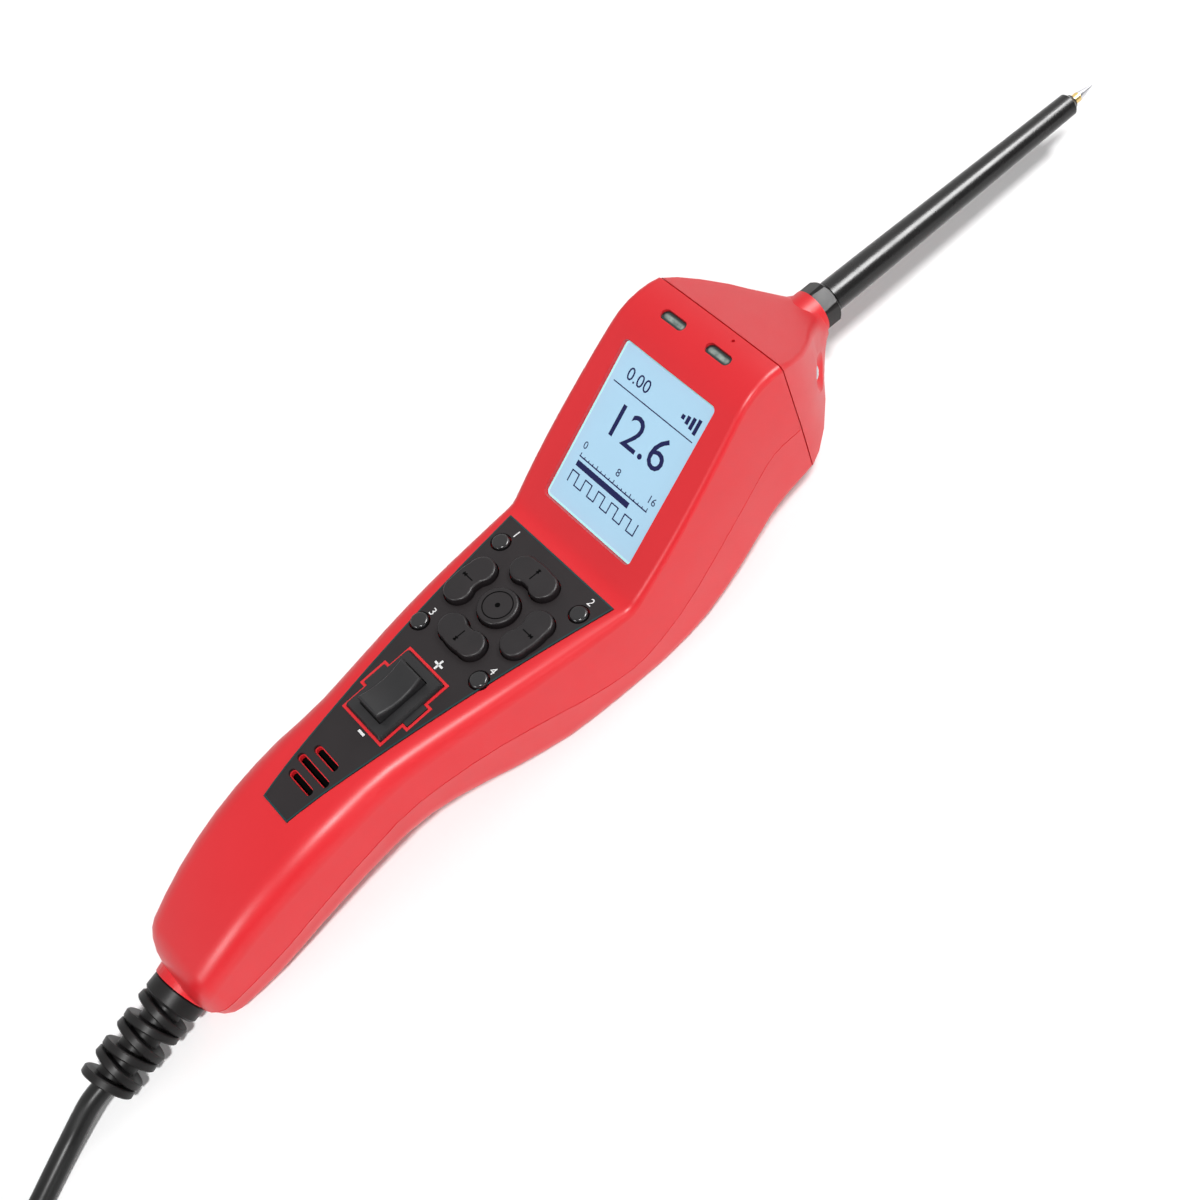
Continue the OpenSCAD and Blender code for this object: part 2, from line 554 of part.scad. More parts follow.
module ribbon_cable() {
    path = [[13, -7.75], [19, -9.2], [24.5, -13], [28.5, -14.9], [31.6, -14.5], [33.9, -11.9]];
    color([0.85, 0.80, 0.62]) lying() rotate([90, 0, 0]) linear_extrude(12, center = true)
        polygon(concat(path, [for (k = [len(path) - 1 : -1 : 0]) path[k] - [0.1, 0.4]]));
}
speaker_r = 10.3;
module speaker() {
    color([0.30, 0.30, 0.32]) lying() on_speaker() {
        translate([0, 0, -5.6]) cylinder(r = speaker_r, h = 2.4, $fn = 64);
        translate([0, 0, -7.6]) cylinder(r = 6.2, h = 2.1, $fn = 48);
    }
}

// Indicator windows in the crest, and the work lights in the sides of the nose.
light_x = 78.85;
light_y = 8.3;
module indicator(s) {
    color([0.55, 0.62, 0.56]) lying() translate([light_x, s * light_y, 0]) {
        translate([0, 0, 27.2]) obround(8.4, 2.8, 2.25);
        translate([0, 0, 26.6]) obround(9.8, 4.2, 0.8);
    }
}
module indicator_left() { indicator(1); }
module indicator_right() { indicator(-1); }
module on_work_light(s) { translate([101.3, s * 13.7, 0.5]) rotate([0, 0, s * 50]) rotate([0, 90, 0]) children(); }
module work_light(s) {
    color([0.90, 0.92, 0.95]) lying() on_work_light(s) rotate_extrude($fn = 48)
        polygon(concat([[0, -6.8], [2.5, -6.8]], [for (a = [0 : 22.5 : 90]) [2.5 * cos(a), -1.9 + 1.2 * sin(a)]]));
}
module work_light_left() { work_light(1); }
module work_light_right() { work_light(-1); }

// Probe: a brass socket in the nose, a hexagon collar, the sleeve over a steel rod, and the point.
socket_r = 4.5;
module probe_socket() {
    color([0.80, 0.66, 0.34]) lying() on_probe() translate([0, 0, -16]) difference() {
        cylinder(r = socket_r, h = 16, $fn = 48);
        translate([0, 0, 4]) cylinder(r = rod_r + 0.03, h = 14, $fn = 32);
    }
}
module probe_collar() {
    r = collar_af / sqrt(3);
    color([0.09, 0.09, 0.10]) lying() on_probe() difference() {
        intersection() {
            cylinder(r = r, h = collar_l, $fn = 6);
            rotate_extrude($fn = 64) polygon([[0, 0], [r - 0.3, 0], [r - 0.3, collar_l - 0.9], [r - 1.4, collar_l], [0, collar_l]]);
        }
        translate([0, 0, -1]) cylinder(r = rod_r + 0.03, h = collar_l + 2, $fn = 32);
    }
}
module probe_sleeve() {
    color([0.06, 0.06, 0.07]) lying() on_probe() translate([0, 0, collar_l]) rotate_extrude($fn = 64)
        polygon([[rod_r + 0.03, 0], [sleeve_r - 0.4, 0], [sleeve_r, 0.5], [sleeve_r - 0.1, 12],
            [sleeve_tip_r, sleeve_l - 1.6], [1.8, sleeve_l], [rod_r + 0.03, sleeve_l]]);
}
module probe_rod() {
    color([0.85, 0.68, 0.35]) lying() on_probe() translate([0, 0, -12])
        cylinder(r = rod_r, h = 12 + collar_l + sleeve_l + gold_l, $fn = 32);
}
module probe_point() {
    color([0.78, 0.78, 0.80]) lying() on_probe() translate([0, 0, collar_l + sleeve_l + gold_l])
        rotate_extrude($fn = 32) polygon([[0, 0], [rod_r, 0], [rod_r * 0.92, 0.6], [0.12, point_l - gold_l - 0.1], [0, point_l - gold_l]]);
}

// Strain relief: an anchor inside the tail boss, a flange, and rings on a core joined by webs that turn by 90 degrees.
module strain_relief() {
    color([0.22, 0.22, 0.24]) lying() on_relief() {
        translate([0, 0, -boss_l - 2.4]) cylinder(r = 7.2, h = 2.4, $fn = 64);
        translate([0, 0, -boss_l - 0.2]) cylinder(r = 5.75, h = boss_l + 0.4, $fn = 64);
        rotate_extrude($fn = 64) polygon([[0, 0], [relief_r - 0.5, 0], [relief_r, 0.5], [relief_r, relief_flange - 1],
            [relief_r - 1, relief_flange], [0, relief_flange]]);
        cylinder(r = lead_d / 2 + 0.8, h = relief_l, $fn = 48);
        for (k = [1 : relief_rings - 1]) {
            r = relief_r + (relief_end_r - relief_r) * k / (relief_rings - 1);
            z = relief_flange + relief_pitch * k - relief_ring;
            translate([0, 0, z]) rotate_extrude($fn = 64) polygon([[0, 0], [r - 0.4, 0], [r, 0.4], [r, relief_ring - 0.4],
                [r - 0.4, relief_ring], [0, relief_ring]]);
            rotate([0, 0, k % 2 == 0 ? 0 : 90]) translate([-2, 0.5 - r, z - relief_pitch + relief_ring - 0.2])
                cube([4, 2 * r - 1, relief_pitch - relief_ring + 0.4]);
        }
    }
}

// Cords: a tube swept along a smooth curve through its route points.
function spline(p, t) = let (n = len(p) - 1, i = min(floor(t), n - 1), f = t - i,
    a = i > 0 ? p[i - 1] : 2 * p[0] - p[1], d = i < n - 1 ? p[i + 2] : 2 * p[n] - p[n - 1])
    (2 * p[i] + (p[i + 1] - a) * f + (2 * a - 5 * p[i] + 4 * p[i + 1] - d) * f^2
    + (3 * p[i] - a - 3 * p[i + 1] + d) * f^3) / 2;
module tube(p, r, rings, sides) {
    n = len(p) - 1;
    loft([for (k = [0 : rings]) let (t = n * k / rings, c = spline(p, t),
        dir = spline(p, min(t + 0.01, n)) - spline(p, max(t - 0.01, 0)), along = dir / norm(dir),
        side = cross(along, [0, 0, 1]), across = side / norm(side), up = cross(across, along))
        [for (j = [0 : sides - 1]) c + r * cos(360 * j / sides) * across + r * sin(360 * j / sides) * up]]);
}
lead_r = lead_d / 2;
module inner_leads() {
    anchor = relief_from - (boss_l + 2.4) * relief_dir;
    socket_end = probe_from - 16 * [cos(probe_dip), 0, -sin(probe_dip)];
    color([0.12, 0.12, 0.13]) lying() {
        tube([anchor, anchor - 6 * relief_dir, [-96, 1.5, -20.5], [-78, 0.5, -16.5], [-58, 0, -15.5], [-34, 0, -20],
            [-8, 0, -25], [14, 0, -25.5], [28, 0, -22.8], [35.3, 0, -18.9], [40, 0, -15.9]], 2, 24, 10);
        tube([socket_end, [92, 0, 5.5], [85, 0, 5], [77, 0, 7.5], [72.9, 0, 12.9]], 1.2, 10, 8);
    }
}
cord_from = [relief_end[0] + rest_shift, relief_end[1], relief_end[2] + rest_lift];
lead_route = concat([cord_from, cord_from + 6 * relief_out],
    [[-199, -6.8, 5.2], [-209, -10.6, 3.7], [-222, -16.6, 3.05], [-236, -23.4, 3], [-250, -28.8, 3.1],
    [-263, -31.4, 3.6], [-275, -32, 3.8]]);

// The rest of the lead is wound into a hank, in line with the tester. Its turns are pulled together at the middle,
// where the tie goes round them. A level is one turn high, and a row is the distance between turns side by side.
hank_x = -325;
hank_low = 0.8;
hank_half = 50;
hank_in = 19;
hank_row = 6.5;
hank_rows = 3;
hank_levels = 6;
hank_pinch = 14;
hank_h = hank_levels * lead_d;
hank_out = hank_in + (hank_rows - 1) * hank_row;
hank_top = hank_low + hank_h;
module hank_outline(r) {
    run = [for (k = [0 : 10]) let (x = hank_half - 10 * k) [x, hank_pinch * cos(90 * x / hank_half)^2 - r]];
    polygon(concat(run, [for (a = [-15 : -15 : -165]) [r * cos(a - 90) - hank_half, r * sin(a - 90)]],
        [for (p = run) -p], [for (a = [-15 : -15 : -165]) [r * cos(a + 90) + hank_half, r * sin(a + 90)]]));
}
module hank_ring(low, h, shrink) {
    translate([0, 0, low]) linear_extrude(h) difference() {
        hank_outline(hank_out + lead_r - shrink);
        hank_outline(hank_in - lead_r + shrink);
    }
}
module cord_hank() {
    color([0.12, 0.12, 0.13]) translate([hank_x, 0, hank_low]) {
        hank_ring(0.8, hank_h - 1.6, 1.2);
        for (k = [0 : hank_levels - 1]) let (low = k > 0 ? 0.8 : 0, high = k < hank_levels - 1 ? 0.8 : 0)
            hank_ring(lead_d * k + low, lead_d - low - high, 0);
    }
}
module power_cord() { color([0.12, 0.12, 0.13]) tube(lead_route, lead_r, 14, 10); }
tie_half = hank_out + lead_r - hank_pinch;
module cord_tie() {
    color([0.05, 0.05, 0.06]) translate([hank_x - 6, 0, hank_low + hank_h / 2]) rotate([90, 0, 90]) difference() {
        plate(2 * tie_half + 2.8, hank_h + 1.6, 12, 1.6);
        translate([0, 0, -1]) plate(2 * tie_half + 1.2, hank_h, 14, 0.6);
    }
}

// The end of the lead rises from the innermost turn and lies on the hank, over the tie, with its connector.
end_bend = [[-38, 16.6, -1.2], [-30, 14.4, 0.4], [-20, 12.4, 2.6], [-8, 11.7, 3.9], [4, 12.4, 4.2], [10, 13.9, 4.4],
    [17, 16.2, 4.8], [24, 18, 5]];
end_route = [for (p = end_bend) [hank_x + p[0], p[1], hank_top + p[2]]];
plug_from = end_route[7];
module cord_end() { color([0.12, 0.12, 0.13]) tube(end_route, lead_r, 10, 10); }
module on_plug() { translate(plug_from) rotate([0, 90, 0]) children(); }
module cord_connector() {
    color([0.10, 0.10, 0.11]) on_plug() {
        cylinder(r1 = 3.9, r2 = 4.8, h = 10, $fn = 48);
        translate([0, 0, 9]) plate(10, 18, 21, 2);
    }
}
module connector_pins() {
    color([0.80, 0.80, 0.82]) on_plug() for (s = [-1, 1]) translate([0, s * 4.5, 30]) cap(1.6, 0, 12, 0.8);
}

top_cover();
bottom_cover();
nose_cover();
housing_screws();
keypad_overlay();
key_mode();
key_up();
key_left();
key_down();
key_right();
button_1();
button_2();
button_3();
button_4();
keypad_board();
key_domes();
rocker_housing();
rocker_actuator();
rocker_terminals();
display_lens();
display_module();
main_board();
board_screws();
circuit_breaker();
ribbon_cable();
speaker();
indicator_left();
indicator_right();
work_light_left();
work_light_right();
probe_socket();
probe_collar();
probe_sleeve();
probe_rod();
probe_point();
strain_relief();
inner_leads();
power_cord();
cord_hank();
cord_tie();
cord_end();
cord_connector();
connector_pins();
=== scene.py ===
# %% [markdown]
# # A hand-held circuit tester
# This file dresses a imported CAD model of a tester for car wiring. The CAD model already has every rigid piece in its
# place and at its real size, in metres, so this script never moves one. It adds what CAD can't say: how light slides
# over moulded plastic, the content of the display, the small printed marks, and a power lead that lies as rubber does.
# Each cell below makes one thing. A cell like this one says what the real thing is, and why it is made this way.

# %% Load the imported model
import json
import math

import bmesh
import bpy
from mathutils import Matrix, Vector
from mathutils.bvhtree import BVHTree
from mathutils.interpolate import poly_3d_calc

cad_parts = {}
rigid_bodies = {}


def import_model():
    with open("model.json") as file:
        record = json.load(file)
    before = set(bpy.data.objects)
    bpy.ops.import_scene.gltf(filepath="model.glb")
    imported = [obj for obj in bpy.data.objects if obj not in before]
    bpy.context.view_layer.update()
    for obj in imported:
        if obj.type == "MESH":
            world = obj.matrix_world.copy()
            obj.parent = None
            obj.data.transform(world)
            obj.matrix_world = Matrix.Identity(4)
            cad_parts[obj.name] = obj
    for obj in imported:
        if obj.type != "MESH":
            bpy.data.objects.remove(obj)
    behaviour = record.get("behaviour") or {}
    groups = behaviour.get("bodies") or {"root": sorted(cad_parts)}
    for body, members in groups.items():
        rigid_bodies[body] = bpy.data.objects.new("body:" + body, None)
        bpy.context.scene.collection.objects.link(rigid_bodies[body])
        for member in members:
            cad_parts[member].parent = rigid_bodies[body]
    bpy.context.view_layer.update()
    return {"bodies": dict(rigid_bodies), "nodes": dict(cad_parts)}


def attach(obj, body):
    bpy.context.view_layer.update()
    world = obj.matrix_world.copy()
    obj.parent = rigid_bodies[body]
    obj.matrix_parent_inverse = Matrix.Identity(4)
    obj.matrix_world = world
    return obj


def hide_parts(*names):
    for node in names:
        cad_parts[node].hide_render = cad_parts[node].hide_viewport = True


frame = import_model()
nodes = frame["nodes"]

# %% [markdown]
# ## Where things are
# The tester was designed with its round middle key at the origin, and then laid down nose up by less than a degree.
# Every part of it has its own little frame: the keypad follows the arch of the grip, the display leans back, the probe
# dips, and the lead leaves at a slight angle. A matrix for each of these frames lets a cell place its piece in plain
# millimetres, just as the CAD source does.

# %% Frames of the parts
MM = 0.001


def shift(x, y, z):
    """A move by so many millimetres."""
    return Matrix.Translation(Vector((x, y, z)) * MM)


def turn(degrees, axis):
    """A turn about an axis."""
    return Matrix.Rotation(math.radians(degrees), 4, axis)


LYING_TILT = 0.8
DESIGN = shift(-30.706093, 0, 39.59614) @ turn(-LYING_TILT, "Y")
ARCH_X, ARCH_Z, ARCH_AHEAD, ARCH_BEHIND = -60, 4.9, 442, 98
FOLD_X, FOLD_Z, TO_WINDOW = 29.9, 1.4, 23.2
TILT = math.radians(32.7)


def grip_arch(x):
    """Height of the arch over the grip: a wide curve ahead of its crest and a tight one behind it."""
    return ARCH_Z - (x - ARCH_X) ** 2 / (2 * (ARCH_AHEAD if x > ARCH_X else ARCH_BEHIND))


def on_arch(x):
    """The frame that sits on the arch at x, with z straight out of the cover."""
    return DESIGN @ shift(x, 0, grip_arch(x)) @ turn(math.degrees(math.atan((x - ARCH_X) / ARCH_AHEAD)), "Y")


KEYPAD = on_arch(0)
ROCKER = on_arch(-33.9)
window_x = FOLD_X + TO_WINDOW * math.cos(TILT)
window_z = FOLD_Z + math.tan(TILT) * (window_x - FOLD_X)
DISPLAY = DESIGN @ shift(window_x, 0, window_z) @ turn(-math.degrees(TILT), "Y")
PROBE = DESIGN @ shift(112.2, 0, 3.2) @ turn(96.8, "Y")
print("middle key at", [round(v / MM, 1) for v in KEYPAD.translation])

# %% [markdown]
# ## The camera
# The photograph looks down on the tester from its right side and a little from behind, with the probe running up to the
# top right corner. The place and turn of the camera were found by matching the corners of the display, the keypad and
# the housing. The camera comes first, because the free end of the lead has to lie outside what it sees.

# %% Camera


def hang(name, data, place=None):
    """A new object in the scene, at the origin unless it gets a place."""
    made = bpy.data.objects.new(name, data)
    bpy.context.scene.collection.objects.link(made)
    if place is not None:
        made.matrix_world = place
    return made


CAMERA_PLACE = (-0.07467, -0.2576, 0.43042)
camera_data = bpy.data.cameras.new("camera")
camera_data.lens = 55.66
camera_data.sensor_width = 36
camera_data.clip_start = 0.01
ahead = Vector((0.1367, 0.5184, -0.84407)).normalized()
right = ahead.cross(Vector((0.6733, 0.5764, 0.46305))).normalized()
facing = Matrix((right, right.cross(ahead), -ahead)).transposed().to_4x4()
bpy.context.scene.camera = hang("camera", camera_data, Matrix.Translation(CAMERA_PLACE) @ facing)
print("camera looks along", [round(v, 3) for v in ahead])

# %% [markdown]
# ## Little helpers
# A piece in this file is always a mesh whose object sits at the origin, with its place in its points, because that is
# how the CAD pieces are kept. The helpers finish a bmesh that way, let it ride on its body, and give it a finish from
# the table of finishes.

# %% Helpers for pieces
TESTER = "tester"
TOUCHING = 0.000001


def even_normals(data, degrees):
    """Smooth shading that leaves big flat faces flat: each corner takes the mean of the faces round it that turn
    away by less than an angle, and a large face counts for more than a small one."""
    limit = math.cos(math.radians(degrees))
    around = {}
    for face in data.polygons:
        for v in face.vertices:
            around.setdefault(v, []).append(face)
    normals = []
    for face in data.polygons:
        for v in face.vertices:
            near = [f.area * f.normal for f in around[v] if f.normal.dot(face.normal) > limit]
            normals.append(sum(near, Vector()).normalized() if near else face.normal.copy())
    data.shade_smooth()
    data.normals_split_custom_set(normals)


def mesh_of(name, shape):
    """Mesh data from a bmesh, which is freed."""
    data = bpy.data.meshes.new(name)
    shape.to_mesh(data)
    shape.free()
    return data


def add_piece(name, mesh, paint_name, body=TESTER, place=None, smooth_below=35):
    """Turns a bmesh or a mesh into a piece that rides on a body, shaded smooth over edges below an angle."""
    data = mesh_of(name, mesh) if isinstance(mesh, bmesh.types.BMesh) else mesh
    if place is not None:
        data.transform(place)
    data.materials.clear()
    data.materials.append(finishes[paint_name])
    if smooth_below:
        even_normals(data, smooth_below)
    piece = hang(name, data)
    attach(piece, body)
    return piece


def merged(cad_name):
    """A copy of a CAD node's mesh with its loose triangles joined."""
    copy = bmesh.new()
    copy.from_mesh(nodes[cad_name].data)
    bmesh.ops.remove_doubles(copy, verts=copy.verts, dist=2 * TOUCHING)
    return copy


def paint(cad_name, paint_name):
    """Gives a CAD node a better material."""
    if not nodes[cad_name].material_slots:
        nodes[cad_name].data.materials.append(None)
    for spot in nodes[cad_name].material_slots:
        spot.material = finishes[paint_name]


def smooth_points(route, per_span):
    """Points on the smooth curve through a route, the same curve that the CAD source sweeps its tubes along."""
    points, last = [], len(route) - 1
    for k in range(last * per_span + 1):
        t = k / per_span
        i = min(int(t), last - 1)
        f = t - i
        b, c = route[i], route[i + 1]
        a = route[i - 1] if i > 0 else 2 * b - c
        d = route[i + 2] if i < last - 1 else 2 * c - b
        points.append((2 * b + (c - a) * f + (2 * a - 5 * b + 4 * c - d) * f * f
                       + (3 * b - a - 3 * c + d) * f ** 3) / 2)
    return points


# %% [markdown]
# ## Finishes
# Moulded plastic is never one flat colour. It has a very fine spark-eroded grain, a little cloudiness in its pigment,
# and its gloss changes where hands have polished it. Two node groups make these effects for every material: one gives a
# grain height, the other a slow cloud. Each material places the group with its own scale and wires it to its shader.
# The groups put out only values, and the shader stays in the material, so that an exporter can read it.

# %% Helpers for nodes


def node(tree, kind, inputs=(), **settings):
    """Makes a node with its settings, gives each input a link from a socket or a plain value, and returns its
    outputs."""
    made = tree.nodes.new(kind)
    for label, value in settings.items():
        setattr(made, label, value)
    for label, value in dict(inputs).items():
        if isinstance(value, bpy.types.NodeSocket):
            tree.links.new(value, made.inputs[label])
        else:
            made.inputs[label].default_value = value
    return made.outputs


def maths(tree, operation, *values):
    """A math node on numbers or sockets."""
    return node(tree, "ShaderNodeMath", enumerate(values), operation=operation)["Value"]


def new_group(name, inputs, output):
    """A node group: its tree, the sockets that it is given, and the one that it puts out."""
    group = bpy.data.node_groups.new(name, "ShaderNodeTree")
    for label, value in inputs.items():
        group.interface.new_socket(label, in_out="INPUT", socket_type="NodeSocketFloat").default_value = value
    group.interface.new_socket(output, in_out="OUTPUT", socket_type="NodeSocketFloat")
    return group, group.nodes.new("NodeGroupInput").outputs, group.nodes.new("NodeGroupOutput").inputs[output]


def noise(tree, scale, detail, roughness):
    """A noise on object coordinates."""
    place = node(tree, "ShaderNodeTexCoord")["Object"]
    return node(tree, "ShaderNodeTexNoise", {"Vector": place, "Scale": scale, "Detail": detail,
                                             "Roughness": roughness})["Fac"]


print("node helpers ready")

# %% Node groups for grain and cloud
grain_group, given, height = new_group("moulded_grain", {"Scale": 2500.0}, "Height")
grain_group.links.new(noise(grain_group, given["Scale"], 3, 0.6), height)

cloud_group, given, value = new_group("pigment_cloud", {"Scale": 40.0, "Low": 0.0, "High": 1.0}, "Value")
cloud = node(cloud_group, "ShaderNodeMapRange", {
    "Value": noise(cloud_group, given["Scale"], 4, 0.55), "From Min": 0.3, "From Max": 0.7,
    "To Min": given["Low"], "To Max": given["High"]})
cloud_group.links.new(cloud["Result"], value)
print("node groups:", [g.name for g in bpy.data.node_groups])

# %% [markdown]
# One function makes a finish from numbers that a moulder would give, and the table below it has one row for each: the
# name, the colour and its darker cloud, the range of roughness, the grain's scale and depth, the cloud's scale, and the
# strength of the reflection. Where they aren't nought, the metal, the clear coat and the glow follow.

# %% Finishes


def finish(name, colour, darker, gloss, grain, cloud, specular, metallic=0.0, coat=0.0, glow=0.0):
    """A moulded or metal finish with pigment cloud, changing gloss and fine grain."""
    material = bpy.data.materials.new(name)
    material.use_nodes = True
    tree = material.node_tree
    shader = tree.nodes["Principled BSDF"].inputs
    for label, value in (("Metallic", metallic), ("Coat Weight", coat), ("Coat Roughness", 0.12),
                         ("Specular IOR Level", specular), ("Emission Strength", glow)):
        shader[label].default_value = value
    clouds = node(tree, "ShaderNodeGroup", {"Scale": cloud}, node_tree=cloud_group)["Value"]
    tint = node(tree, "ShaderNodeMix", {"Factor": clouds, "A": (*darker, 1), "B": (*colour, 1)}, data_type="RGBA")
    tree.links.new(tint["Result"], shader["Base Color"])
    if glow:
        tree.links.new(tint["Result"], shader["Emission Color"])
    low, high = gloss
    sheen = node(tree, "ShaderNodeGroup", {"Scale": cloud * 2.3, "Low": low, "High": high}, node_tree=cloud_group)
    tree.links.new(sheen["Value"], shader["Roughness"])
    if grain:
        scale, depth = grain
        grains = node(tree, "ShaderNodeGroup", {"Scale": scale}, node_tree=grain_group)["Height"]
        bump = node(tree, "ShaderNodeBump", {"Height": grains, "Strength": depth, "Distance": 0.0002})
        tree.links.new(bump["Normal"], shader["Normal"])
    return material


finishes = {}
for row in (
        ("red_abs", (0.69, 0.016, 0.024), (0.66, 0.013, 0.02), (0.34, 0.4), (3200, 0.06), 30, 0.42),
        ("overlay_film", (0.017, 0.013, 0.014), (0.013, 0.01, 0.011), (0.45, 0.55), (4200, 0.12), 60, 0.24),
        ("key_rubber", (0.013, 0.01, 0.011), (0.01, 0.008, 0.009), (0.36, 0.44), (3000, 0.08), 90, 0.32),
        ("button_gloss", (0.01, 0.009, 0.01), (0.007, 0.007, 0.008), (0.2, 0.28), (3000, 0.02), 90, 0.5),
        ("switch_black", (0.014, 0.013, 0.014), (0.01, 0.01, 0.011), (0.42, 0.5), (4200, 0.15), 90, 0.35),
        ("sleeve_black", (0.006, 0.005, 0.005), (0.004, 0.004, 0.004), (0.24, 0.3), (1600, 0.01), 60, 0.45),
        ("collar_black", (0.009, 0.008, 0.008), (0.007, 0.006, 0.006), (0.28, 0.36), (3000, 0.04), 80, 0.25),
        ("relief_rubber", (0.007, 0.006, 0.006), (0.004, 0.004, 0.004), (0.38, 0.48), (2600, 0.06), 90, 0.24),
        ("lead_rubber", (0.006, 0.006, 0.006), (0.004, 0.004, 0.004), (0.32, 0.42), (2200, 0.05), 60, 0.3),
        ("plug_black", (0.024, 0.024, 0.026), (0.018, 0.018, 0.02), (0.38, 0.46), (2600, 0.12), 90, 0.5),
        ("strap_nylon", (0.018, 0.018, 0.02), (0.01, 0.01, 0.012), (0.75, 0.9), (1400, 0.6), 300, 0.5),
        ("gold_metal", (0.83, 0.6, 0.25), (0.78, 0.54, 0.2), (0.2, 0.3), (1800, 0.03), 120, 0.5, 1),
        ("steel_metal", (0.72, 0.72, 0.74), (0.62, 0.62, 0.65), (0.18, 0.3), (1800, 0.03), 120, 0.5, 1),
        ("brass_metal", (0.72, 0.55, 0.24), (0.64, 0.47, 0.19), (0.28, 0.38), (1800, 0.04), 120, 0.5, 1),
        ("zinc_metal", (0.52, 0.53, 0.55), (0.44, 0.45, 0.48), (0.3, 0.42), (2200, 0.06), 120, 0.5, 1),
        ("board_green", (0.012, 0.09, 0.035), (0.01, 0.07, 0.028), (0.35, 0.45), (1500, 0.08), 120, 0.5),
        ("ribbon_film", (0.55, 0.4, 0.16), (0.48, 0.34, 0.13), (0.3, 0.4), None, 120, 0.5),
        ("dark_case", (0.05, 0.05, 0.055), (0.04, 0.04, 0.044), (0.4, 0.5), (2600, 0.1), 90, 0.5),
        ("lcd_glass", (0.323, 0.503, 0.641), (0.31, 0.485, 0.62), (0.3, 0.36), None, 30, 0.2, 0, 0, 0.4),
        # The brighter, glowing cyan of the display's edge is a painted highlight.
        ("lcd_edge_painted_highlight", (0.36, 0.69, 0.71), (0.34, 0.66, 0.68), (0.3, 0.36), None, 30, 0.2, 0, 0, 0.4),
        # The smoked window's pale colour and its dark cloud paint glint streaks, a painted highlight.
        ("window_smoke_painted_light", (0.36, 0.43, 0.39), (0.1, 0.14, 0.13), (0.2, 0.28), None, 500, 0.5),
        ("light_lens", (0.42, 0.44, 0.46), (0.34, 0.36, 0.38), (0.05, 0.1), None, 200, 0.5, 0, 1),
        ("speaker_cloth", (0.004, 0.004, 0.004), (0.003, 0.003, 0.003), (0.8, 0.9), None, 200, 0),
        ("lcd_ink", (0.008, 0.01, 0.085), (0.006, 0.008, 0.07), (0.3, 0.36), None, 30, 0.2),
        ("print_white", (0.8, 0.8, 0.8), (0.72, 0.72, 0.72), (0.5, 0.6), None, 90, 0.5),
        # Matt near-black for the key marks: on the arrows it is painted shade of their grooves.
        ("mark_and_groove_shade_dark", (0.005, 0.005, 0.005), (0.004, 0.004, 0.004), (0.7, 0.8), None, 90, 0),
        ("film_edge_teal", (0.008, 0.042, 0.045), (0.006, 0.034, 0.037), (0.45, 0.55), None, 90, 0.25)):
    finishes[row[0]] = finish(*row)
print("finishes:", len(finishes))

# %% [markdown]
# ## The power lead
# The lead is a round rubber cable, 6 mm thick, that leaves the strain relief at the tail, drops to the table and runs
# out of the picture. Nobody lays 6 metres of cable about on a shelf, so the rest is wound up as for storage, into a
# slim hank in line with the tester: three rows of turns side by side, six turns high, pulled together at the middle by
# a tie. Wound by hand, the cable climbs one row, moves in by its own thickness, comes down the next row, and so on. If
# all these moves lay at one place they would run into each other, so each kind of move has its own quarter of the turn.
# One Bezier curve with a round bevel makes it all, because a curve keeps the cable's length and thickness easy to
# change.

# %% Route of the lead
LEAD_D = 6.0
lead_start = Vector((-184.749, -3.932, 8.036))
lead_out = Vector((-0.987959, -0.130208, -0.083559))
lead_route = [lead_start, lead_start + 6 * lead_out] + [Vector(p) for p in (
    (-199, -6.8, 5.2), (-209, -10.6, 3.7), (-222, -16.6, 3.05), (-236, -23.4, 3), (-250, -28.8, 3.1),
    (-263, -31.4, 3.6), (-275, -32, 3.8))]
HANK_X, HANK_HALF, HANK_TOP, PINCH = -325, 50, 36.8, 14
rows = [32, 25.5, 19]
levels = [3.8 + LEAD_D * k for k in range(6)]
print("lead leaves at", [round(v, 1) for v in lead_start])

# %% Turns of the hank


def hank_spots():
    """Where each turn lies, as row, height and the part of a turn at which the cable moves there."""
    spots = [(rows[0], levels[0], None)]
    for column, row in enumerate(rows):
        going_up = column % 2 == 0
        heights = levels if going_up else levels[::-1]
        if column:
            spots.append((row, heights[0], 0.125 if going_up else 0.625))
        spots += [(row, z, 0.875 if going_up else 0.375) for z in heights[1:]]
    return spots


def move_turns(spots):
    """The turn count at which each move is half done: the next one whose part of a turn fits."""
    moves, at = [], 0.0
    for _, _, part in spots[1:]:
        whole = math.floor(at)
        at = whole + part if whole + part > at + 0.5 else whole + 1 + part
        moves.append(at)
    return moves


RUN_SHARE, MOVE_SHARE = 0.3, 0.36
spots = hank_spots()
moves = move_turns(spots)


def round_the_hank(part, r):
    """The place on one turn of the hank: a run, the far bend, the run back and the near bend."""
    in_half = part % 0.5
    if in_half < RUN_SHARE:
        x = HANK_HALF - 2 * HANK_HALF * in_half / RUN_SHARE
        y = PINCH * math.cos(math.pi / 2 * x / HANK_HALF) ** 2 - r
    else:
        a = math.pi * (in_half - RUN_SHARE) / (0.5 - RUN_SHARE)
        x, y = -HANK_HALF - r * math.sin(a), -r * math.cos(a)
    return (x, y) if part < 0.5 else (-x, -y)


def wound(turns):
    """The point of the hank after so many turns."""
    r, height = spots[0][:2]
    for (r1, z1, _), (r0, z0, _), at in zip(spots[1:], spots, moves):
        share = min(max((turns - at) / MOVE_SHARE + 0.5, 0), 1)
        share = share * share * (3 - 2 * share)
        r += (r1 - r0) * share
        height += (z1 - z0) * share
    x, y = round_the_hank(turns % 1, r)
    return Vector((HANK_X + x, y, height))


print("moves:", len(moves), "last at turn", moves[-1])

